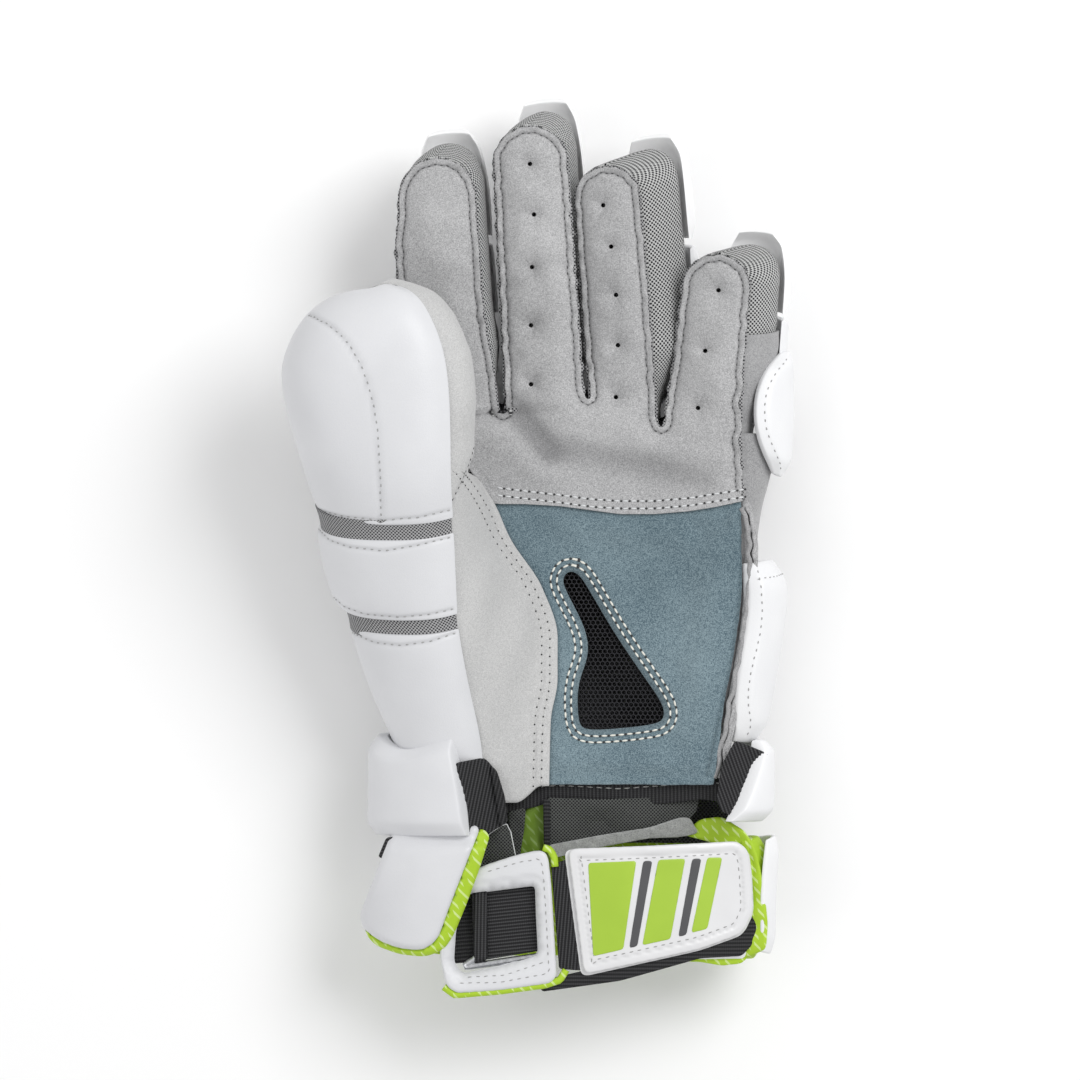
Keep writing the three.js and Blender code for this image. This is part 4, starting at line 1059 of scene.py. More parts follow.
def foldHeight(x, y, folds=palmFolds):
    total = 0 * x
    for start, end, rise, wide in folds:
        a, b = np.array(placeOf(*start)), np.array(placeOf(*end))
        along = np.clip(((x - a[0]) * (b - a)[0] + (y - a[1]) * (b - a)[1]) / np.sum((b - a) ** 2), 0, 1)
        far = np.hypot(x - lerp(a[0], b[0], along), y - lerp(a[1], b[1], along))
        total = total + foldRise * rise * np.exp(-(far / wide) ** 2)
    return total


def palmTop(x, y, d):
    weight = palmSeamWeight(x, y)
    body = palm["crown"] * (0.3 * smooth((d - palm["seamInset"]) / 1.2) + 0.9 * smooth((d - palm["seamInset"]) / 8))
    groove = palm["groove"] * np.exp(-((d - palm["seamInset"]) / 0.55) ** 2) * weight
    flange = (0.1 + 0.65 * ripple(x, y, 8, 5)) * (1 - smooth(d / 1.9)) * weight
    soft = palm["creases"] * ripple(x * 0.5, y, 19, 8) * smooth((d - 3) / 6) * smooth((y - 12) / 8)
    pucker = 0.22 * ripple(x, y, 5.5, 21) * np.exp(-((d - 4.6) / 1.8) ** 2) * weight
    lapped = palm["lapRise"] * (1 - smooth((y - 14) / 7)) * smooth((x - thumbSeam(np.clip(y, 14, 48))) / 4)
    return palmHeight(x, y) + body - groove + flange + soft + pucker + lapped + foldHeight(x, y) * smooth(d / 5)


def palmWave(loop):
    return (ripple(loop[:, 0], loop[:, 1], 8, 4) * palm["edgeWave"] * smooth((loop[:, 1] - 19) / 4))[:, None]


palmLoop = resample(palmOutline(), 0.8)
palmLoop = offsetLoop(palmLoop, palmWave(palmLoop))
sideBulk = smooth((palmLoop[:, 0] - 66) / 3) * smooth((palmLoop[:, 1] - 18) / 6) * smooth((92 - palmLoop[:, 1]) / 6)
palmLoop[:, 0] += palm["sideWave"] * ripple(palmLoop[:, 0] * 0, palmLoop[:, 1], 12, 31) * sideBulk
airHoles = placesOf((530, 165), (534, 215), (532, 267), (531, 325), (531, 384), (603, 206), (611, 247), (616, 295),
                    (618, 345), (616, 397), (718, 291), (705, 351), (698, 408))
turns = np.linspace(0, math.tau, 13)[:-1]
holeLoops = [spot + palm["holes"] * np.stack([np.cos(turns), np.sin(turns)], 1) for spot in airHoles]
palmHoleTree = edgeTree(holeLoops, 0.3)


def palmMark(x, y, d):
    weight = palmSeamWeight(x, y)
    # painted shade: darker in the folds' valleys and in a band across the palm's middle, beside the dark seam line
    worn = 0.2 * np.clip(-foldHeight(x, y), 0, 2) + 0.07 * np.exp(-((y - 33) / 7) ** 2) * smooth((d - 4) / 6)
    return 0.5 * np.exp(-((d - palm["seamInset"]) / 0.35) ** 2) * weight + worn


def palmDimple(x, y, d):  # each air hole sits in a small dimple
    near = distanceTo(palmHoleTree, np.stack([x, y], 1))
    inner = np.array([np.min(np.hypot(airHoles[:, 0] - a, airHoles[:, 1] - b)) for a, b in zip(x, y)])
    return palmTop(x, y, np.where(inner < 3.0, np.maximum(d, 10), d)) - 0.45 * np.exp(-(near / 0.8) ** 2)


palmPiece = panelPiece("palm_leather", palmLoop, "palmSuede", palmDimple,
                       lambda x, y, d: palmTop(x, y, np.maximum(d, 0)) - 1.25, holes=holeLoops,
                       rings=(0.35, 1.0, 1.6, 1.95, 2.2, 2.45, 2.9, 3.7, 5.0, 6.6), seamMark=palmMark)
keep(palmPiece, "palm_panel")
palmTree = topOf(palmPiece)


def insetPaths(loop, inset, test):  # stretches of an inset outline that keep their distance
    tree = edgeTree([loop])
    line = offsetLoop(resample(loop, 1.2), inset)
    good = (distanceTo(tree, line) > inset * 0.9) & insideLoop(loop, line) & test(line[:, 0], line[:, 1])
    stretches, current = [], []
    for spot, ok in zip(line, good):
        if ok:
            current.append(spot)
        elif current:
            stretches.append(np.array(current))
            current = []
    if current:
        stretches.append(np.array(current))
    return [s for s in stretches if len(s) > 3]


for stretch in insetPaths(palmLoop, palm["seamInset"], lambda x, y: palmSeamWeight(x, y) > 0.7):
    sew("palm", drape(palmTree, stretch, 0.02))
lowerEdge = np.array([(500, 499), (525, 502), (560, 506), (590, 510), (620, 512), (655, 512), (690, 509),
                      (715, 505), (741, 501)])
for up in (3.5, 11):
    sew("pale", drape(palmTree, resample(placesOf(*(lowerEdge - np.array([0, up]))), 0.8, closed=False), 0.04))

# The knit's own edge shows as a thin strip beyond the raw leather
knitEdge = waved(palmOutline(0.75), 0.35, 6, 12)
knitEdge = knitEdge[~((knitEdge[:, 1] < 19) & (knitEdge[:, 0] < 70))]
keep(panelPiece("knit_edge", knitEdge, "bandKnit",
                lambda x, y, d: palmHeight(x, y) - 0.75 - 3.2 * smooth((d - 1.6) / 3),
                lambda x, y, d: palmHeight(x, y) - 1.5 - 3.2 * smooth((d - 1.6) / 3),
                rings=(0.5, 1.6, 3), spacing=2.4, edge=0.9))


# Dark knit closes the bottom of each fork
def forkWeb(i):
    f, g = fingers[i], fingers[i + 1]
    s, t = (forkLine(i + 1) + 2.5 - finger["rootY"] for finger in (f, g))
    a, b = facePoint(f, s, faceHalf(f, s), 0), facePoint(g, t, -faceHalf(g, t), 0)
    turn, depth = np.linspace(0, math.pi, 16)[None, :], np.linspace(0, 1, 14)[:, None]
    middle, half = (a + b) / 2, (b - a) / 2
    x = middle[0] - (half[0] + 1.6) * np.cos(turn) + 0 * depth
    y = middle[1] + 9 - 10.8 * np.sin(turn) ** 0.6 + 3 * depth
    z = lerp(middle[2] - 2.6, hand["back"] + 9, depth) + 0 * turn
    keep(skinPiece(f["name"] + "_web", np.stack([x, y, z], -1), 0.9, "darkKnit"))


for i in range(3):
    forkWeb(i)
print("palm leather made")

# The heel panel, the vent and its net
vent = {"length": 59, "width": 38, "left": 8, "top": -9, "cell": 1.75, "thread": 0.46}
ventRows = np.array([(0.06, 0), (0.17, 0.02), (0.3, 0.16), (0.5, 0.38), (0.75, 0.62), (0.98, 0.83), (1, 0.92),
                     (0.93, 0.96), (0.55, 0.99), (0.22, 1), (0.16, 0.95), (0.15, 0.72), (0.27, 0.52),
                     (0.23, 0.36), (0.06, 0.15), (0, 0.06)])


def roundedLoop(points, passes):  # corners cut again and again
    loop = np.asarray(points, float)
    for _ in range(passes):
        after = np.roll(loop, -1, 0)
        loop = np.stack([0.75 * loop + 0.25 * after, 0.25 * loop + 0.75 * after], 1).reshape(-1, 2)
    return loop


def ventLoop(grow):
    base = np.array([vent["left"], vent["top"]]) + ventRows * np.array([vent["width"], -vent["length"]])
    loop = offsetLoop(resample(roundedLoop(base, 2), 0.8), -grow)
    return resample(roundedLoop(resample(loop, 1.6), 1), 0.8)


def heelOutline():
    top = heelTopLine()
    right = [np.array([palmRight(y) - 0.2, y]) for y in np.linspace(15.5, palmEnd, 50)]
    left = [np.array([thumbSeam(y) - 2.6, y]) for y in np.linspace(palmEnd, 14, 50)]
    return np.array(list(top) + right + left)


def heelTopLine():
    return placesOf((495, 496), (560, 496), (620, 503), (690, 500), (742, 492))


heelFolds = [((743, 514), (700, 532), -0.8, 3.5), ((715, 560), (700, 700), 0.7, 8),
             ((555, 520), (650, 532), 0.5, 5), ((700, 560), (640, 560), -0.4, 7), ((560, 760), (690, 765), 0.5, 5)]


def heelTop(x, y, d):
    under = 0.75 * (1 - smooth((x - thumbSeam(y) - 0.2) / 1.6))
    lapped = 0.7 * smooth((y - 10) / 4)
    near = distanceTo(ventTree, np.stack([x, y], 1))
    sewn = np.exp(-((near - 2.4) / 0.6) ** 2) + np.exp(-((near - 4.7) / 0.6) ** 2)
    lip = 0.35 * smooth(near / 0.7) - 0.35
    soft = (0.35 * ripple(x, y, 24, 13) + foldHeight(x, y, heelFolds)) * smooth((d - 2) / 6)
    edge = 0.25 * (1 - smooth(d / 0.8))
    return handFace(x) - under - lapped + soft - edge + np.where(near < 8, lip - 0.22 * sewn, 0)


ventEdge = ventLoop(0)
ventTree = edgeTree([ventEdge])
heelLoop = waved(heelOutline(), 0.12, 9, 9)
# the heel's mark: painted shade that darkens it towards its top, and a dark line along the vent's edge
heelPiece = panelPiece("heel_leather", heelLoop, "blueSuede", heelTop,
                       lambda x, y, d: heelTop(x, y, d) - 1.2, holes=[ventEdge], rings=(0.4, 1.1, 2.2, 3.4),
                       spacing=1.35,
                       seamMark=lambda x, y, d: 0.12 * smooth((y + 40) / 50) + 0.25 * np.exp(
                           -(distanceTo(ventTree, np.stack([x, y], 1)) / 0.5) ** 2))
keep(heelPiece, "palm_heel_panel")
heelTree = topOf(heelPiece)
heelSide = ((739, 516), (742, 550), (739, 600), (732, 655), (723, 700), (713, 745), (707, 774))
heelSide = drape(heelTree, resample(placesOf(*heelSide), 0.8, closed=False), 0.0)
sewOn(heelPiece, heelSide, "blue", 0.5, 1.0, shade=0.3)
for grow in (2.4, 4.7):
    loop = ventLoop(grow)
    sew("cream", drape(heelTree, np.concatenate([loop, loop[:1]]), 0.14))


def netTree():  # dual of a triangle grid: six-sided cells, each side a round thread
    tree, nodes = groupTree(
        "net_cells", {"Thickness": "Float", "Thread": "Material"},
        {"dual": "GeometryNodeDualMesh", "curve": "GeometryNodeMeshToCurve",
         "ring": "GeometryNodeCurvePrimitiveCircle", "tube": "GeometryNodeCurveToMesh",
         "real": "GeometryNodeRealizeInstances", "paint": "GeometryNodeSetMaterial"})
    nodes["ring"].inputs["Resolution"].default_value = 5
    nodes["tube"].inputs["Fill Caps"].default_value = True
    return linked(
        tree, nodes,
        ("source", "Geometry", "dual", "Mesh"), ("dual", 0, "curve", "Mesh"),
        ("source", "Thickness", "ring", "Radius"), ("curve", "Curve", "tube", "Curve"),
        ("ring", "Curve", "tube", "Profile Curve"), ("tube", "Mesh", "real", "Geometry"),
        ("real", "Geometry", "paint", "Geometry"), ("source", "Thread", "paint", "Material"),
        ("paint", "Geometry", "target", "Geometry"))


netNodes = netTree()


def netPiece(name, outline, height, cell, thick, look):
    low, high = outline.min(0), outline.max(0)
    xs, ys = np.arange(low[0], high[0], cell), np.arange(low[1], high[1], cell * 0.866)
    spots = np.array([(x + (k % 2) * cell / 2, y) for k, y in enumerate(ys) for x in xs])
    index = {}
    held = insideLoop(outline, spots)
    points, faces = [], []
    cols = len(xs)
    for i, (spot, ok) in enumerate(zip(spots, held)):
        if ok:
            index[i] = len(points)
            points.append((spot[0], spot[1], float(height(spot[0], spot[1]))))
    for k in range(len(ys) - 1):
        for j in range(cols - 1):
            a, b, c, d = k * cols + j, k * cols + j + 1, (k + 1) * cols + j, (k + 1) * cols + j + 1
            for tri in (((a, b, c), (b, d, c)) if k % 2 == 0 else ((a, b, d), (a, d, c))):
                if all(t in index for t in tri):
                    faces.append([index[t] for t in tri])
    made = nodePiece(name, (toFrame(points).tolist(), [], faces), look, netNodes,
                     {"Thickness": thick / 2000, "Thread": looks[look]})
    made.data.shade_smooth()
    return made


ventNet = netPiece("vent_net", ventLoop(3.0), lambda x, y: handFace(x) - 2.5, vent["cell"], vent["thread"],
                   "blackNet")
keep(ventNet, "vent_mesh")
print("heel panel and vent made")

# The thumb's leather
thumbSkinRows = {"rows": 150, "columns": 64, "lapRise": 0.9, "thickness": 1.3}
ks = np.linspace(0, 1, thumbSkinRows["columns"])[None, :]
foot = palmEnd - 0.5 - 6 * (1 - smooth((ks - 0.5) / 0.45))
steps = np.concatenate([[0, 0.0003, 0.0008, 0.0015, 0.003], np.linspace(0.0045, 1, thumbSkinRows["rows"] - 5)])
ys = lerp(thumb["top"] - 0.005, foot, steps[:, None])
inner = thumbLeather(ys, ks)
below = smooth((hand["web"] + 2 - ys) / 8)
lap = thumbSkinRows["lapRise"] * smooth((ks - 0.82) / 0.1) * below
shiftOut = 1.2 * smooth((ks - 0.9) / 0.1) * below
inner[..., 2] += lap + 0 * ks
inner[..., 0] += shiftOut + 0 * ks
edgeGap = (1 - ks) * np.linalg.norm(np.diff(inner, axis=1), axis=-1).sum(1)[:, None]
sewn = (np.exp(-((edgeGap - 2.6) / 0.6) ** 2) + np.exp(-((edgeGap - 5.6) / 0.6) ** 2)) * below
relief = (0.75 * ripple(inner[..., 0], inner[..., 1], 26, 3) * smooth(edgeGap / 8) * smooth(ks / 0.1)
          + 0.16 * ripple(inner[..., 0], inner[..., 1], 7, 6) * np.exp(-((edgeGap - 9) / 4) ** 2) * below
          - 0.2 * sewn)
thumbPiece = skinPiece("thumb_leather", inner, thumbSkinRows["thickness"], "thumbSuede", relief)
keep(thumbPiece, "thumb_palm_panel")
thumbTree = topOf(thumbPiece)
for inset in (2.6, 5.6):
    rows = np.linspace(27, palmEnd + 1, 90)
    line = np.array([(thumbSeam(y) + 0.4 - inset, y) for y in rows])
    sew("thumb", drape(thumbTree, line, 0.02))
print("thumb leather made")

# Fingers: knit gussets and foam pads
# a pad's part of the finger, its ends along the length, half its reach round the finger, lift and lean
padRows = [("base", 0.05, 0.33, 0.16, 1.0, 0), ("middle", 0.36, 0.62, 0.188, 1.1, 0),
           ("tip", 0.65, 0.965, 0.182, 1.2, 0.8)]


def fingerRows(f, start, count):
    span = fingerShape["round"] * f["width"]
    tip = f["length"] - span
    return np.concatenate([np.linspace(start, tip, count), tip + span * np.sin(np.linspace(0, 1.5705, 22))[1:]])


for f in fingers:
    s, q = fingerRows(f, -2.0, 44)[:, None], np.linspace(0, 1, 51)[None, :]
    skin = fingerSkin(f, s, q, 1.0)
    relief = 0.35 * ripple(skin[..., 0] * 0.6, skin[..., 1], 15, 17)
    relief = relief * np.sin(math.pi * q) ** 2 * smooth((s - 6) / 12)
    keep(skinPiece(f["name"] + "_knit", skin, 1.0, "greyKnit", -np.abs(relief) * 0.6, closeTo=f["along"]),
         f["name"] + "_gusset")
    for part, start, end, span, lift, ahead in padRows:
        def placed(x, y, f=f, start=start, end=end, span=span, part=part):
            narrow = 1 - (0.26 * smooth((y - 0.15) / 0.85) if part == "tip" else 0.04 * y * y)
            return lerp(start, end, (y + 1) / 2) * f["length"], 0.5 + span * x * narrow

        def seat(x, y, f=f, lift=lift, ahead=ahead, placed=placed):
            s, q = placed(x, y)
            rise = stock["cloth"] + lift + 0.06 * f["drift"]
            normal = normalOf(lambda a, b: fingerSkin(f, a, b), s, q, 1, 0.02)
            return fingerSkin(f, s, q) + normal * rise + f["along"] * (ahead * ((y + 1) / 2) ** 3)[..., None]

        def push(x, y, f=f, placed=placed):
            return fingerFrame(f, placed(x, y)[0])[2]

        # painted light: the tip pads take the lightest copy of the white leather, the other finger pads the lighter
        # copy
        foamPad(f"{f['name']}_{part}_foam", seat, push, stock["fingerFoam"] - softPads["shrink"] * 0.6,
                0.08 if part == "tip" else 0.14, f"{f['name']}_{part}_pad",
                "tipLeather" if part == "tip" else "brightLeather")
print("fingers made")

# The little finger's outer side is leather up to the knit tip
little = fingers[3]
s, q = np.linspace(-3, 36, 40)[:, None], np.linspace(0.6, 0.995, 26)[None, :]
side = fingerSkin(little, s, q)
side = side + gridNormals(side) * 1.25
sidePiece = skinPiece("little_side_leather", side, 0.9, "sideSuede",
                      0.25 * ripple(side[..., 1], side[..., 2], 14, 40))
keep(sidePiece)


# The hand's sides and back
def handPart(name, start, end, columns, look, node, foot=hand["skinEnd"]):
    q = np.linspace(start, end, columns)[None, :]
    k = np.linspace(0, 1, 70)[:, None]
    at = handSkin(lerp(handTop(q), foot, k), q)
    soft = 0.3 * ripple(at[..., 1], at[..., 2] + at[..., 0], 22, 23)
    keep(skinPiece(name, at, 1.1, look, soft * smooth(k * 6) * smooth((1 - k) * 6)), node)


handPart("ulnar_leather", 0, 0.296, 30, "sideSuede", "ulnar_side_panel")
handPart("back_knit", 0.3, 0.796, 36, "darkKnit", "hand_backing")
handPart("radial_leather", 0.8, 1, 24, "palmSuede", "radial_side_panel", hand["web"] + 1)


def handPad(name, q0, q1, y0, y1, thickness, round_, node, lift=0.0, warp=None, **more):
    def placed(x, y):
        x, y = warp(x, y) if warp else (x, y)
        return lerp(y0, y1, (y + 1) / 2), lerp(q0, q1, (x + 1) / 2)

    def seat(x, y):
        at = placed(x, y)
        return handSkin(*at) + handOut(*at) * (stock["cloth"] + stock["seat"] + lift)

    made = foamPad(name, seat, lambda x, y: handOut(*placed(x, y)), thickness, round_, node, **more)
    return made, lambda x, y: seat(x, y) + handOut(*placed(x, y)) * thickness


for name, q0, q1, y0, y1 in (("knuckle_pad_inner", 0.6, 0.74, 10, 42), ("knuckle_pad_middle", 0.48, 0.585, 12, 44),
                             ("knuckle_pad_outer", 0.37, 0.465, 10, 38), ("back_pad_inner", 0.565, 0.72, -32, 6),
                             ("back_pad_outer", 0.37, 0.55, -32, 6), ("back_pad_lower", 0.37, 0.68, -66, -36)):
    handPad(name.replace("pad", "foam"), q0, q1, y0, y1, stock["handFoam"], 0.25, name, onFloor=True)
# painted light: the side pads take the lighter copy of the white leather
sidePads = {"look": "brightLeather", "level": 3, "bulge": 0.15}
upperSide, upperAt = handPad("side_foam_upper", 0.055, 0.29, 27, 72, 5.4, 0.12, "side_pad_upper", 0.6,
                             lambda x, y: (1 - (1 - x) * (1 - 0.46 * np.abs(y) ** 2.4), y), **sidePads)
bend = np.linspace(-0.9, 0.9, 40)
sewOn(upperSide, upperAt(-0.8 + 0 * bend, bend), "dots", 0.3, 0.9)
lowerSide, lowerAt = handPad("side_foam_lower", 0.02, 0.32, -72, -6, 9.6, 0.06, "side_pad_lower", **sidePads,
                             warp=lambda x, y: (x + (0.05 * np.sin(5 * y) + 0.12 * smooth(-y)) * (1 - x), y))
bend = np.linspace(-0.94, 0.94, 50)
sewOn(lowerSide, lowerAt(-0.84 + 0 * bend, bend), "dots", 0.3, 0.9)
sewOn(lowerSide, lowerAt(bend, 0.84 + 0 * bend), "dots", 0.5, 0.8)
print("hand made")

# The thumb's back: knit that closes at the tip, then three pads and the knit between them
rows = np.concatenate([np.linspace(hand["skinEnd"], thumb["top"] - 1.5, 76),
                       thumb["top"] - np.array([1.2, 0.9, 0.65, 0.42, 0.26, 0.13, 0.05, 0.005])])[:, None]
angles = np.linspace(thumb["fold"], thumb["end"], 56)[None, :]
keep(skinPiece("thumb_knit", thumbSkin(rows, angles), 1.1, "bandKnit"), "thumb_backing")


thumbUnder = stock["cloth"] + stock["seat"] + 1.0


def underAt(x):  # the leather edge sits down on the palm leather at the seam
    return lerp(1.55, thumbUnder, smooth((x + 1) / 0.35))


def thumbSag(y, x):  # the pads' edges hang lower in the middle than at their ends
    lift = 3 * np.clip((-0.15 - x) / 0.85, 0, 1) ** 1.5 + 2 * np.clip((x + 0.15) / 0.7, 0, 1) ** 2
    return y + lift * smooth((y + 60) / 30) * (1 - smooth((y - 15) / 40))


def thumbPad(name, y0, y1, start, end, thickness, round_, node, ys, ends=squared):
    def placed(x, y):
        return thumbSag(lerp(y0, y1, (y + 1) / 2), x), lerp(start - 3.5, end, (x + 1) / 2)

    def push(x, y):
        at = placed(x, y)
        return unit(thumbSkin(*at, 4) - thumbSkin(*at, 3))

    lines = np.array([-1, -0.97, -0.9, -0.78, -0.6, -0.4, -0.2, 0, 0.22, 0.44, 0.64, 0.8, 0.92, 1])
    return foamPad(name, lambda x, y: thumbSkin(*placed(x, y), underAt(x)), push, thickness, round_, node,
                   xs=lines, ys=ys, bulge=0.25, ends=ends, level=3)


def thumbFoamAt(topShare, bottomShare, whole=1.0, sideLow=1.0, sideHigh=1.0):
    def tall(x, y):
        side = smooth((x + 1) / 1.1) * (1 - 0.35 * smooth((x - 0.35) / 0.65))
        sideTall = (stock["thumbSideFoam"] - 3) * lerp(sideLow, sideHigh, smooth((y + 0.8) / 0.9))
        height = lerp(stock["thumbFoam"] - 3, sideTall, smooth((x + 0.5) / 0.8)) * side
        fade = np.where(y > 0, lerp(1, topShare, smooth(y)), lerp(1, bottomShare, y * y))
        return 3 + height * fade * whole - softPads["shrink"] * 0.5
    return tall


tipLines = np.array([-1, -0.975, -0.9, -0.7, -0.45, -0.15, 0.15, 0.42, 0.62, 0.78, 0.9, 0.97, 1])
thumbTip = thumbPad("thumb_foam_tip", 12, 96.6, thumb["fold"], 228, thumbFoamAt(0.3, 0.85, 1, 0.8),
                    lambda x, y: 0.3 * smooth((x + 0.7) / 1.2) * (y > 0), "thumb_tip_pad", tipLines,
                    ends=lambda y: np.where(y > 0, chamfered(y), squared(y)))
bandLines = np.array([-1, -0.965, -0.86, -0.5, 0, 0.5, 0.86, 0.965, 1])
thumbMid = thumbPad("thumb_foam_middle", -22.7, 6.6, thumb["fold"], 222, thumbFoamAt(0.9, 0.9, 1, 0.85, 0.85), 0.03,
                    "thumb_middle_pad", bandLines)
lowFoamAt = thumbFoamAt(0.9, -0.05, 0.8, 0.3, 0.75)
thumbLow = thumbPad("thumb_foam_base", -82, -28, thumb["fold"], 214,
                    lambda x, y: np.maximum(lowFoamAt(x, y) * lerp(0.85, 1, smooth(y + 1)), 1.6),
                    0.03, "thumb_base_pad", bandLines)


def thumbBand(name, y0, y1, share, sideShare):  # the knit that bridges two pads
    y = np.linspace(y0, y1, 14)[:, None]
    x = np.linspace(-0.985, 0.985, 120)[None, :]
    rise = underAt(x) + (thumbFoamAt(1, 1)(x, 0 * x) * share - 1.9) * smooth((x + 1.02) / 0.1) + 0 * y
    sag = -0.5 * np.sin(math.pi * np.linspace(0, 1, 14))[:, None]
    side = lerp(1, sideShare, smooth((x + 0.6) / 0.8))
    grid = thumbSkin(thumbSag(y, x), lerp(thumb["fold"] - 3.5, 220, (x + 1) / 2) + 0 * y, rise * side + sag)
    return keep(skinPiece(name, grid, 0.9, "bandKnit"))


thumbBand("thumb_band_upper", 4.4, 14.2, 0.8, 0.86)
thumbBand("thumb_band_lower", -30.2, -20.6, 0.72, 0.84)
print("thumb pads made")

# The cuff: rolls, flaps and their printed lining
rollBottom = cuff["rollTop"] - cuff["roll"]
rollEdges = {  # warps of each roll's angles and top edge, from the photograph
    "left": {"from": 124.8, "to": 198, "slant": 3.0, "dip": 6.5, "bottom": 0},
    "back": {"from": 214, "to": 324, "slant": 0, "dip": 0, "bottom": 0},
    "right": {"from": -28, "to": 23, "slant": -11, "dip": 0, "bottom": 5},
}
flapEdges = {  # lining: offset and thickness; foam: offset and thickness
    "back": {"from": 198, "to": 326, "lining": (-1.5, 3.0), "foam": (1.85, 6.7)},
    "right": {"from": -26, "to": 16, "lining": (-1.5, 8.4), "foam": (7.2, 3.6)},
}


def cuffPad(name, a0, a1, y0, y1, offset, thickness, round_, node, look, warp, **more):
    def placed(x, y):
        return warp(x, y, lerp(a0, a1, (x + 1) / 2), lerp(y0, y1, (y + 1) / 2))

    def push(x, y):
        at = placed(x, y)
        return unit(cuffSkin(*at, offset + 1) - cuffSkin(*at, offset))

    return foamPad(name, lambda x, y: cuffSkin(*placed(x, y), offset), push, thickness, round_, node, look, **more)


wideLines = np.array([-1, -0.985, -0.9, -0.75, -0.55, -0.35, -0.15, 0.15, 0.35, 0.55, 0.75, 0.9, 0.985, 1])
shortLines = np.array([-1, -0.97, -0.86, -0.6, -0.3, 0, 0.3, 0.6, 0.86, 0.97, 1])
cuffPieces = {}
for side, e in rollEdges.items():
    def rollWarp(x, y, angle, row, e=e):
        rim = np.exp(-((x + 0.35) / 0.5) ** 2) * e["dip"] * smooth((y + 1) / 2)
        near = 0.5 * (1 - x) if e["to"] > 100 else 0.5 * (1 + x)  # the end towards the palm leans
        return angle + e["slant"] * y * near, row - rim

    # painted light: the right roll takes the lighter copy of the white leather
    cuffPieces["roll", side] = cuffPad("wrist_roll_foam_" + side, e["from"], e["to"], rollBottom + e["bottom"],
                                       cuff["rollTop"] + (2.5 if side == "left" else 0), 0, stock["cuffFoam"] - 0.4,
                                       0.06, "wrist_roll_" + side, xs=wideLines if side == "back" else shortLines,
                                       onFloor=side == "back", warp=rollWarp, bulge=0.2, sides=squared,
                                       look="brightLeather" if side == "right" else "whiteLeather")
for side, e in flapEdges.items():
    def flapWarp(x, y, angle, row):  # the left end of the back flap is cut away below
        return angle, row + 20 * smooth((216 - angle) / 18) * smooth((0.3 - y) / 1.3) * (angle > 100)

    bottom, top = rollBottom - cuff["flap"], rollBottom - 0.6
    lines = wideLines if side == "back" else shortLines
    cuffPieces["lining", side] = cuffPad("flap_lining_" + side, e["from"] - 2, e["to"] + 2, bottom - 2, top,
                                         e["lining"][0], e["lining"][1], 0.3, "cuff_lining_" + side, "limeCloth",
                                         xs=lines, puff=False, bulge=0.2, fill=0.3, warp=flapWarp)
    # painted light: the flaps take the lighter copy of the white leather
    cuffPieces["flap", side] = cuffPad("flap_foam_" + side, e["from"], e["to"], bottom, top, e["foam"][0],
                                       e["foam"][1], 0.25, "cuff_flap_" + side, "brightLeather", xs=lines,
                                       onFloor=side == "back", warp=flapWarp)
rows = np.linspace(0, 44, 40)[:, None]
inward = np.interp(rows, [0, 5.5, 12, 44], [6.2, 6.2, 1.8, 1.8])
liningGrid = cuffSkin(np.linspace(206, 334, 76)[None, :], cuff["rollTop"] + 5 - rows, -inward)
keep(skinPiece("wrist_net_lining", liningGrid, 1.0, "darkKnit"), "wrist_lining")
print("cuff made")


# Pieces cut to outlines read off the photograph, laid at a height
def laidPiece(name, pixels, height, thickness, look, edge=0.5, corner=1.6, ribs=None, relief=None, spacing=1.2,
              node=None, holes=(), seamMark=None, turn=0):
    def top(x, y, d):
        near = np.clip(edge - d, 0, edge)
        drop = edge - np.sqrt(np.maximum(edge ** 2 - near ** 2, 0))
        wave = 0.18 * np.cos(turnBy(x, y, turn)[1] * math.tau / ribs) if ribs else 0
        return height(x, y) + thickness - drop + wave + (relief(x, y, d) if relief else 0)

    outline = roundedCorners(placesOf(*pixels), corner)
    made = panelPiece(name, outline, look, top, lambda x, y, d: height(x, y) + 0 * d, holes=holes,
                      rings=tuple(edge * k for k in (0.06, 0.2, 0.45, 0.75, 1.1)), spacing=spacing, edge=0.8,
                      seamMark=seamMark, turn=turn)
    return keep(made, *([node] if node else []))


def roundedCorners(corners, radius):
    corners = np.asarray(corners, float)
    loop = []
    for i, corner in enumerate(corners):
        a, b = corners[i - 1] - corner, corners[(i + 1) % len(corners)] - corner
        size = min(radius, 0.45 * np.linalg.norm(a), 0.45 * np.linalg.norm(b))
        start, end = corner + unit(a) * size, corner + unit(b) * size
        for t in np.linspace(0, 1, 7):
            loop.append((1 - t) ** 2 * start + 2 * t * (1 - t) * corner + t * t * end)
    return np.array(loop)


def above(rise):  # a height over the strap's face
    return lambda x, y: strapFace(x) + rise


def leftFlapFace(x, y):
    share = np.clip((11.5 - x) / 79, 0, 0.999)
    return 31.5 + 27.5 * np.sqrt(1 - share ** 2) + 0.03 * (y + 110)


flapLoop = ((394, 826), (482, 824), (472, 848), (450, 905), (438, 938), (424, 949), (400, 948), (378, 940),
            (362, 928), (359, 916))
flapFoam = stock["cuffFoam"] - 1.3
leftFlap = laidPiece("flap_foam_left", flapLoop, leftFlapFace, flapFoam, "whiteLeather", edge=2.4, corner=4,
                     node="cuff_flap_left", spacing=1.8,
                     relief=lambda x, y, d: 0.9 * smooth((d - 2) / 16) - 4.5 * smooth((y + 112) / 6))
flapTree = edgeTree([roundedCorners(placesOf(*flapLoop), 4)])


def liningDrop(x, y, d):  # the printed lining wraps the flap's right and lower edges
    near = distanceTo(flapTree, np.stack([x, y], 1))
    outside = ~insideLoop(roundedCorners(placesOf(*flapLoop), 4), np.stack([x, y], 1))
    return np.where(outside, -0.6 * near, -2.5) - 4.5 * smooth((y + 112) / 6)


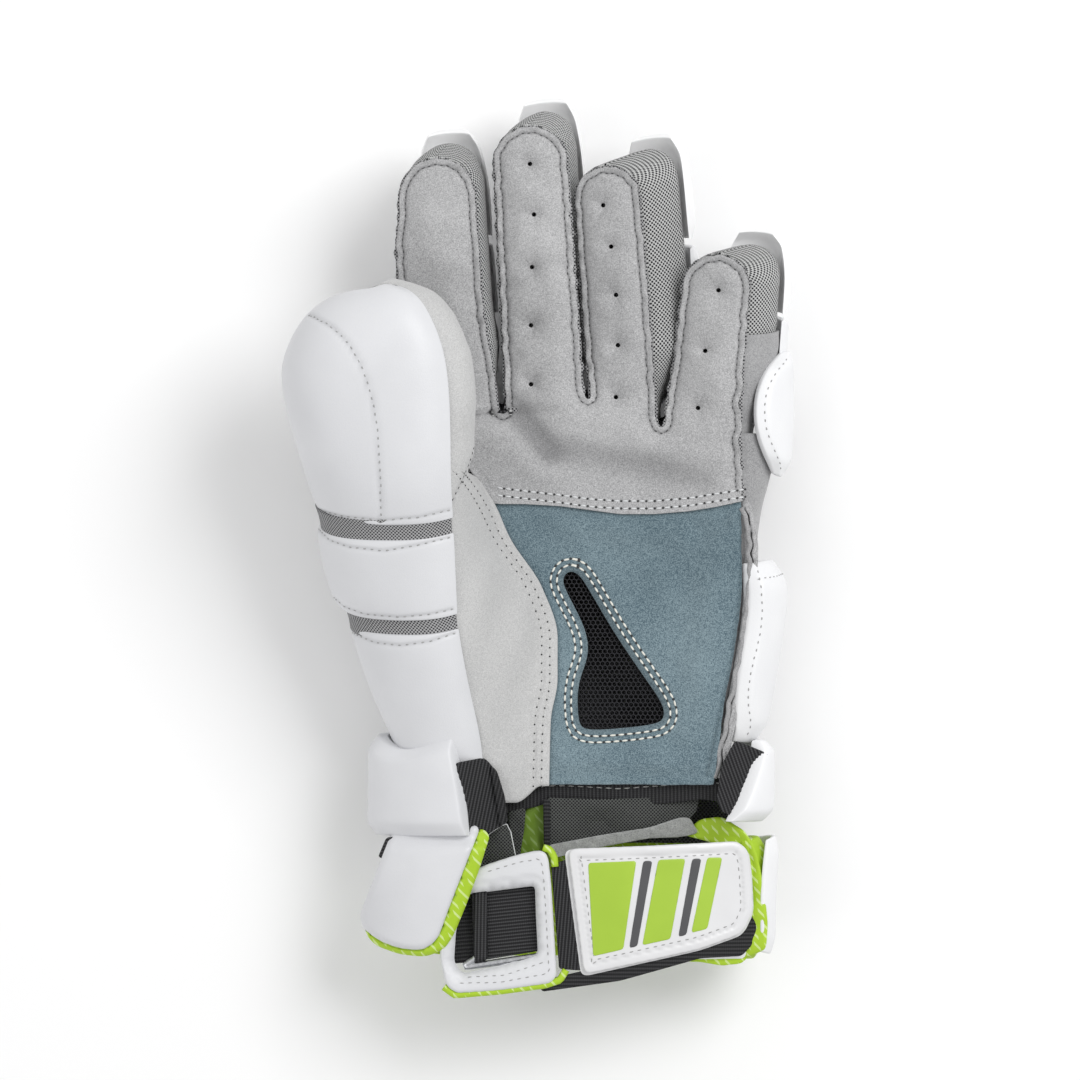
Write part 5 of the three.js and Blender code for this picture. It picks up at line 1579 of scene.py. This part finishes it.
leftLining = laidPiece("flap_lining_left", ((390, 838), (484, 828), (490, 835), (479, 870), (466, 905), (454, 934),
                                            (444, 949), (426, 956), (400, 954), (376, 946), (366, 936), (362, 915)),
                       lambda x, y: leftFlapFace(x, y) - 1.6, 6.6, "limeCloth", edge=1.4, corner=3,
                       node="cuff_lining_left", spacing=1.2, relief=liningDrop)
laidPiece("flap_elastic_bit", ((386, 838), (394, 836), (384, 859), (378, 857)),
          lambda x, y: leftFlapFace(x, y) - 1, 3.4, "blackElastic", edge=0.4, corner=0.8)


# Ribbed elastics laid from the rolls over the palm's corners
def risen(x0, z0, x1, z1):
    return lambda x, y: lerp(z0, z1, smooth((x - x0) / (x1 - x0)))


laidPiece("elastic_left", ((455, 762), (484, 757), (492, 765), (499, 782), (505, 806), (508, 822), (488, 833),
                           (470, 834)), risen(-31, 59.0, -16, 50.2), 1.4, "blackElastic", ribs=1.25, turn=-102,
          spacing=0.42, edge=0.35, node="elastic_tab_left", relief=lambda x, y, d: 0.25 * ripple(x, y, 14, 61))
laidPiece("elastic_left_fold", ((490, 764), (497, 770), (505, 796), (508, 822), (500, 826), (496, 800)),
          risen(-31, 59.8, -16, 51.6), 1.5, "blackTape", ribs=1.4, turn=-104, spacing=0.5)
laidPiece("elastic_right", ((735, 740), (769, 754), (758, 788), (747, 820), (722, 812), (716, 800), (721, 765)),
          risen(66, 50.6, 82, 43.0), 1.4, "blackElastic", ribs=1.25, turn=-70,
          spacing=0.42, edge=0.35, node="elastic_tab_right", relief=lambda x, y, d: 0.3 * ripple(x, y, 13, 62))


# The anchor, the tab and what lies between them, all on the strap's curve
def windowLip(loop, wide, deep):  # a frame that steps down beside its window
    tree = edgeTree([loop])
    return lambda x, y, d: -deep * (1 - smooth((distanceTo(tree, np.stack([x, y], 1)) - wide) / 0.6))


anchorOuter = ((446, 905), (439, 950), (446, 984), (456, 992), (500, 989), (557, 981), (554, 930), (551, 880),
               (547, 848), (520, 853), (480, 866), (458, 880))
anchorHole = roundedCorners(placesOf((466, 893), (536, 884), (537, 915), (539, 954), (500, 966), (462, 974),
                                     (453, 962), (455, 930)), 2.2)
anchor = laidPiece("anchor_frame", anchorOuter, above(0), 3.2, "whiteLeather", edge=1.3, corner=4.5,
                   node="strap_anchor", holes=[resample(anchorHole, 0.8)], relief=windowLip(anchorHole, 3.4, 0.75))
anchorTree = topOf(anchor)
for line in (((462, 982), (500, 981), (549, 972), (547, 930), (544, 880), (541, 858), (520, 861), (490, 870)),
             ((470, 976), (505, 974), (541, 962))):
    sew("fine", drape(anchorTree, resample(placesOf(*line), 0.8, closed=False), 0.04))
webbingFace = -stock["wire"] - stock["webbing"] - 2 * stock["gap"]
laidPiece("anchor_ribbing", ((480, 884), (540, 880), (542, 950), (482, 960)), above(webbingFace + 1.2),
          stock["webbing"], "blackElastic", ribs=1.25, turn=6, spacing=0.45, edge=0.3, node="anchor_webbing")
laidPiece("anchor_ribbing_left", ((446, 893), (484, 886), (484, 961), (448, 964)), above(webbingFace - 1.2), 1.5,
          "blackTape", ribs=1.4, turn=6, spacing=0.5, edge=0.3)
laidPiece("anchor_loop", ((472, 889), (487, 887), (488, 959), (474, 963)), above(webbingFace + 2.2), 3.2,
          "blackElastic", ribs=1.25, turn=-91, spacing=0.45, edge=1.9, corner=0.8)
laidPiece("anchor_backing", ((446, 905), (442, 950), (448, 980), (456, 988), (556, 978), (552, 900), (545, 852),
                             (480, 870)), above(-1.4), 1.1, "whiteLeather",
          holes=[resample(offsetLoop(anchorHole, 0.4), 0.8)], spacing=2.0)

# The steel loop, seen along the window's lower edge
bar = stock["wire"]
ringPath = resample(roundedCorners(placesOf((462, 967), (543, 955), (543, 878), (480, 882), (480, 955)), 2.4), 0.9)
ringPath = np.column_stack([ringPath, strapFace(ringPath[:, 0]) - bar / 2 - stock["gap"]])

tabEdge = ((568, 848), (650, 845), (737, 841), (748, 850), (751, 872), (753, 912), (742, 933), (700, 948),
           (640, 961), (584, 973))
tabCorner = 3.2
tabLoop = roundedCorners(placesOf(*tabEdge), tabCorner)
laidPiece("tab_elastic", ((551, 864), (576, 856), (586, 970), (559, 968)), above(-0.9), stock["webbing"],
          "blackElastic", ribs=1.25, turn=-95, spacing=0.45, edge=0.4, node="strap_elastic", corner=0.8)


def tabRelief(x, y, d):  # a raised border round a slightly sunk field
    return 0.35 * np.exp(-((d - 2.0) / 0.7) ** 2) - 0.3 * np.exp(-((d - 3.3) / 0.35) ** 2)


plate = laidPiece("closure_plate", tabEdge, above(0.9), stock["rubber"], "whiteRubber", edge=0.8, corner=tabCorner,
                  node="closure_tab", spacing=1.0, relief=tabRelief,
                  seamMark=lambda x, y, d: 0.3 * np.exp(-((d - 3.3) / 0.3) ** 2))
laidPiece("closure_underlay", ((564, 849), (650, 846), (738, 843), (749, 852), (752, 874), (754, 913), (743, 935),
                               (700, 950), (640, 963), (581, 976)), above(0.1), 1.0, "whiteRubber", edge=0.5,
          corner=tabCorner, spacing=2.0)
plateTree = topOf(plate)
loop = offsetLoop(resample(tabLoop, 1.2), 4.4)
sew("fine", drape(plateTree, np.concatenate([loop, loop[:1]]), 0.04))
laidPiece("closure_band", ((540, 980), (583, 970), (640, 960), (700, 946), (741, 930), (752, 912), (762, 922),
                           (755, 942), (742, 956), (700, 958), (620, 980), (541, 991)), above(-1.2),
          stock["webbing"], "blackTape", edge=0.5, corner=1.5, node="closure_strap", spacing=1.0)
# painted light: the cuff's white end takes the lighter copy of the white leather
laidPiece("cuff_end_white", ((668, 957), (700, 949), (742, 946), (749, 951), (744, 959), (700, 959)),
          above(-4.4), 3.4, "brightLeather", edge=1.3, corner=1.4)
laidPiece("cuff_end_lime", ((664, 961), (700, 955), (744, 953), (749, 957), (742, 964), (722, 966), (700, 962)),
          above(-5.4), 2.8, "limeCloth", edge=1.0, corner=1.4)
laidPiece("cuff_side_lime", ((684, 836), (700, 820), (722, 817), (746, 832), (757, 852), (764, 885), (768, 925),
                             (766, 950), (740, 960), (738, 900), (730, 848)),
          lambda x, y: 36.5 + 0.3 * (x - 60) + 0 * y, 2.6, "limeCloth", edge=1.2, corner=2.2,
          relief=lambda x, y, d: 0.5 * ripple(x, y, 16, 71))
for name, look, corners in (("wide", "limeRubber", ((588, 862), (636, 860), (623, 948), (593, 955))),
                            ("middle", "limeRubber", ((658, 859), (685, 858), (670, 938), (642, 944))),
                            ("narrow", "limeRubber", ((707, 857), (722, 857), (707, 928), (691, 932))),
                            ("dark_a", "charcoal", ((643, 860), (652, 860), (637, 945), (629, 947))),
                            ("dark_b", "charcoal", ((692, 858), (701, 858), (686, 934), (678, 936)))):
    nodes = None if "dark" in name else "tab_inlay_" + name
    laidPiece("plate_bar_" + name, corners, above(0.9 + stock["rubber"] - 0.25), 0.55, look, edge=0.35, corner=1.0,
              node=nodes)


def tubePiece(name, path, radius, look, sides, nodes=(), closed=False):
    path = np.asarray(path, float)
    ahead = unit(np.roll(path, -1, 0) - np.roll(path, 1, 0)) if closed else unit(np.gradient(path, axis=0))
    across = unit(np.cross(ahead, [0, 0, 1.0]))
    up = np.cross(across, ahead)
    angles = np.linspace(0, math.tau, sides + 1)[:-1]
    rings = (path[:, None, :] + radius * (across[:, None, :] * np.cos(angles)[None, :, None]
                                          + up[:, None, :] * np.sin(angles)[None, :, None]))
    count = len(path)
    i, j = np.meshgrid(np.arange(count if closed else count - 1), np.arange(sides), indexing="ij")
    a, b = i * sides + j, i * sides + (j + 1) % sides
    c, d = (i + 1) % count * sides + (j + 1) % sides, (i + 1) % count * sides + j
    faces = np.stack([a, b, c, d], -1).reshape(-1, 4).tolist()
    if not closed:
        faces += [list(range(sides))[::-1], [(count - 1) * sides + k for k in range(sides)]]
    lengths = np.concatenate([[0], np.cumsum(np.linalg.norm(np.diff(path, axis=0), axis=1))])
    uv = np.stack(np.broadcast_arrays(lengths[:, None], (angles * radius)[None, :]), -1)
    return keep(meshPiece(name, rings.reshape(-1, 3), faces, look, uv), *nodes)


tubePiece("steel_ring", ringPath, bar / 2, "steel", 14, ["strap_loop"], closed=True)
pipes = {"anchor_piping": ((444, 986), (455, 994), (500, 990), (545, 984), (560, 979), (566, 969)),
         "anchor_piping_top": ((543, 847), (550, 849), (554, 856), (555, 866))}
for name, line in pipes.items():
    pipe = resample(placesOf(*line), 1.2, closed=False)
    tubePiece(name, np.column_stack([pipe, strapFace(pipe[:, 0]) + 0.9]), 1.35, "limeCloth", 12)

heelEdge = resample(placesOf((744, 508), (749, 530), (751, 560), (747, 610), (740, 660), (730, 710), (720, 755),
                             (716, 778)), 1.2, closed=False)
heelEdge = heelEdge + np.column_stack([0.45 * ripple(heelEdge[:, 0], heelEdge[:, 1], 9, 91), 0 * heelEdge[:, 0]])
# the middle tube is black: painted shade in the gap between the raw edge and the suede under it
heelEdges = (("heel_edge", "sideSuede", -0.4, 1.0, 0.85), ("heel_edge_gap", "blackTape", 0.9, 2.3, 0.8),
             ("heel_edge_under", "palmSuede", 1.5, 1.9, 0.8))
for name, look, aside, drop, radius in heelEdges:
    line = np.column_stack([heelEdge[:, 0] + aside + 0.25 * ripple(heelEdge[:, 0], heelEdge[:, 1], 12, len(name)),
                            heelEdge[:, 1], handFace(heelEdge[:, 0]) - drop])
    tubePiece(name, line, radius, look, 10)
laidPiece("side_flange", ((741, 490), (752, 508), (758, 545), (757, 590), (751, 640), (743, 690), (733, 735),
                          (727, 768), (714, 776), (728, 700), (742, 620), (745, 545)),
          lambda x, y: handFace(x) - 3.4, 1.3, "palmSuede", edge=0.4,
          relief=lambda x, y, d: 0.6 * ripple(x, y, 9, 86))

# The folded tape on the palm's wrist edge
binding = {"width": 9.2, "drop": 0.6, "thick": 2.2}
topLine = placesOf((500, 801), (512, 795), (528, 788), (545, 783), (565, 783), (620, 786), (670, 782), (702, 778),
                   (719, 780))
topLine = resample(topLine, 0.9, closed=False)
xs, yTop = topLine[:, :1], topLine[:, 1:] + 1.2
around = np.linspace(0, 1, 16)[None, :]
wide = binding["width"] * lerp(0.75, 1, smooth((xs + 16) / 14))
grid = np.stack(np.broadcast_arrays(xs, yTop - wide * around, handFace(xs) - binding["drop"] - binding["thick"]
                                    - 1.2 * around), -1).copy()
round_ = np.sqrt(np.maximum(1 - (2 * around - 1) ** 2, 0.02)) * 0.9
pucker = 0.2 * ripple(grid[..., 0], grid[..., 1] * 0.3, 5, 55)
keep(skinPiece("wrist_binding", grid, binding["thick"] - 0.6, "blackTape", round_ + pucker), "palm_binding")
bindTree = topOf(bpy.data.objects["wrist_binding"])
sew("grey", drape(bindTree, np.column_stack([topLine[:, 0], topLine[:, 1] - 1.2]), 0.08))

# What shows between the palm and the strap: the lining and its raw edges
def liningDip(x, y):
    return 38.5 + 0.16 * (y + 94) + 0 * x


laidPiece("inner_lining", ((547, 798), (600, 800), (700, 796), (697, 812), (686, 824), (650, 833), (600, 842),
                           (548, 852)), liningDip, 1.2, "liningKnit",
          relief=lambda x, y, d: 1.1 * ripple(x * 0.8, y * 1.3, 26, 81) * smooth(d / 3))
laidPiece("inner_lining_edge", ((548, 846), (600, 836), (650, 828), (680, 818), (690, 818), (699, 834),
                                (680, 838), (650, 839), (600, 848), (549, 860)),
          lambda x, y: liningDip(x, y) + 1.6, 1.0, "paleFelt", edge=0.5,
          relief=lambda x, y, d: 0.35 * ripple(x, y, 5, 82))
laidPiece("inner_lining_hem", ((543, 800), (550, 800), (550, 852), (544, 853)),
          lambda x, y: liningDip(x, y) + 0.6, 1.6, "blackTape", edge=0.6, corner=0.5)
# painted shade: this lime lining piece takes the darker copy of the lime cloth
laidPiece("inner_lime", ((524, 812), (533, 806), (546, 800), (546, 852), (520, 856)),
          lambda x, y: liningDip(x, y) - 3, 1.4, "limeShade", relief=lambda x, y, d: 0.5 * ripple(x, y, 9, 83))
laidPiece("inner_band", ((508, 812), (526, 808), (524, 832), (519, 862), (512, 862)),
          lambda x, y: liningDip(x, y) - 0.4, 1.6, "liningKnit", edge=0.6,
          relief=lambda x, y, d: 0.4 * ripple(x, y, 6, 84))
cornerLoop = ((486, 836), (500, 826), (507, 823), (511, 832), (517, 860), (500, 866), (474, 872), (480, 852))
laidPiece("inner_corner", cornerLoop, lambda x, y: 44.5 + 0.1 * (y + 105) + 0 * x, 1.0, "liningKnit",
          relief=lambda x, y, d: 0.5 * ripple(x, y, 12, 85))
cornerTree = topOf(bpy.data.objects["inner_corner"])
cornerEdge = placesOf((487, 836), (500, 826.5), (506.5, 824), (510.5, 832), (516, 859))
sew("overlock", drape(cornerTree, resample(cornerEdge, 0.6, closed=False), 0.1))
print("strap and tapes made")

# Stitch rows placed from the photograph, pressed into the pieces below them
rows = {
    thumbTip: [((303, 313), (318, 320), (335, 330), (350, 345), (364, 368), (374, 398), (380, 430), (382, 470),
                (383, 522)),
               ((303, 502), (322, 511), (345, 517), (383, 521), (420, 518), (450, 511))],
    thumbMid: [((316, 526), (330, 540), (350, 547), (385, 551), (420, 545), (450, 538)),
               ((334, 598), (345, 607), (365, 614), (400, 617), (430, 614), (453, 609))],
    thumbLow: [((341, 620), (352, 633), (375, 642), (400, 645), (430, 641), (455, 633))],
}
for piece, lines in rows.items():
    for line in lines:
        depth, width = (0.75, 0.8) if line[0] == (303, 313) else (0.35, 0.8)
        spots = drape(topOf(piece), resample(placesOf(*line), 0.8, closed=False), 0.0)
        sewOn(piece, spots, "dots", depth, width)
arcSeam = resample(placesOf((478, 428), (476, 445), (470, 465), (462, 484), (454, 500)), 0.8, closed=False)
sewOn(thumbPiece, drape(thumbTree, arcSeam, 0.0), "palm", 0.3, 0.7)

styles = {
    "cream": ("creamThread", {"pitch": 3.1, "length": 2.3, "thick": 0.85, "hole": 1.0}),
    "pale": ("whiteThread", {"pitch": 3.1, "length": 2.15, "thick": 0.75, "hole": 0.95}),
    # the palm's stitches show only as dark dots of painted hole shade
    "palm": ("needleHole", {"pitch": 2.3, "length": 1.1, "thick": 0.42}),
    "thumb": ("thumbThread", {"pitch": 3.2, "length": 2.2, "thick": 0.5, "hole": 0.72}),
    "grey": ("greyThread", {"pitch": 3.4, "length": 2.4, "thick": 0.5}),
    "blue": ("blueThread", {"pitch": 3.0, "length": 2.0, "thick": 0.5}),
    "dots": ("greyThread", {"pitch": 2.9, "length": 1.15, "thick": 0.5}),
    "fine": ("greyThread", {"pitch": 3.0, "length": 1.5, "thick": 0.4}),
    "overlock": ("whiteThread", {"pitch": 0.8, "length": 1.3, "thick": 0.5}),
}
for style, paths in stitchPaths.items():
    look, values = styles[style]
    stitchPiece("stitches_" + style, paths, look, **values)
print("stitches made")

# Cloth and leather: each sheet with how it is held; its finished mesh's points are read back and not used further
sheets = {"palm_leather": "stretched", "heel_leather": "stretched", "thumb_leather": "stretched",
          "ulnar_leather": "stretched", "radial_leather": "stretched", "back_knit": "stretched",
          "little_side_leather": "stretched", "wrist_net_lining": "hung", "wrist_binding": "folded",
          "elastic_left": "laid", "elastic_right": "laid", "tab_elastic": "laid", "anchor_ribbing": "laid",
          "inner_lining": "laid"}
sheets.update({f["name"] + "_knit": "stretched" for f in fingers})
for name, held in sheets.items():
    mesh = bpy.data.objects[name].data
    spots = np.empty(3 * len(mesh.vertices))
    mesh.vertices.foreach_get("co", spots)

# Floor, light and camera
studio = {"key": 13.5, "fill": 5.0, "sky": 0.6, "floor": (0.93, 0.93, 0.93)}
mesh = bpy.data.meshes.new("floor")
mesh.from_pydata([(-3, -3, 0), (3, -3, 0), (3, 3, 0), (-3, 3, 0)], [], [(0, 1, 2, 3)])
floor = bpy.data.objects.new("floor", mesh)
bpy.context.scene.collection.objects.link(floor)
floorFinish = Finish("studio_floor", Roughness=0.9)
floorFinish.put("Base Color", studio["floor"])
mesh.materials.append(floorFinish.material)
world = bpy.data.worlds.new("studio")
bpy.context.scene.world = world
world.use_nodes = True
world.node_tree.nodes["Background"].inputs["Color"].default_value = (1, 1, 1, 1)
world.node_tree.nodes["Background"].inputs["Strength"].default_value = studio["sky"]


def softLight(name, spot, size, power):
    data = bpy.data.lights.new(name, "AREA")
    data.size, data.energy = size, power
    lamp = bpy.data.objects.new(name, data)
    lamp.location = spot
    lamp.rotation_euler = (Vector((0, 0, 0.03)) - Vector(spot)).to_track_quat("-Z", "Y").to_euler()
    bpy.context.scene.collection.objects.link(lamp)


softLight("key", (0.75, 0.6, 1.25), 0.8, studio["key"])
softLight("fill", (-0.9, -0.3, 1.2), 1.2, studio["fill"])

# The camera looks straight down from 3 m above the palm and takes in the photograph's 1080 pixels
view = {"pixels": 1080, "far": 3.0, "palm": 0.045, "film": 36}
camera = bpy.data.objects.new("camera", bpy.data.cameras.new("camera"))
middleY = (shift[1] + (photo["row"] - view["pixels"] / 2) * photo["pixel"]) / 1000
camera.location = (shift[0] / 1000, middleY, view["far"] + view["palm"])
camera.data.sensor_width = view["film"]
camera.data.lens = view["film"] * view["far"] / (view["pixels"] * photo["pixel"] / 1000)
camera.data.clip_end = 20
bpy.context.scene.collection.objects.link(camera)
bpy.context.scene.camera = camera
bpy.context.scene.view_settings.view_transform = "Standard"

print("scene ready")
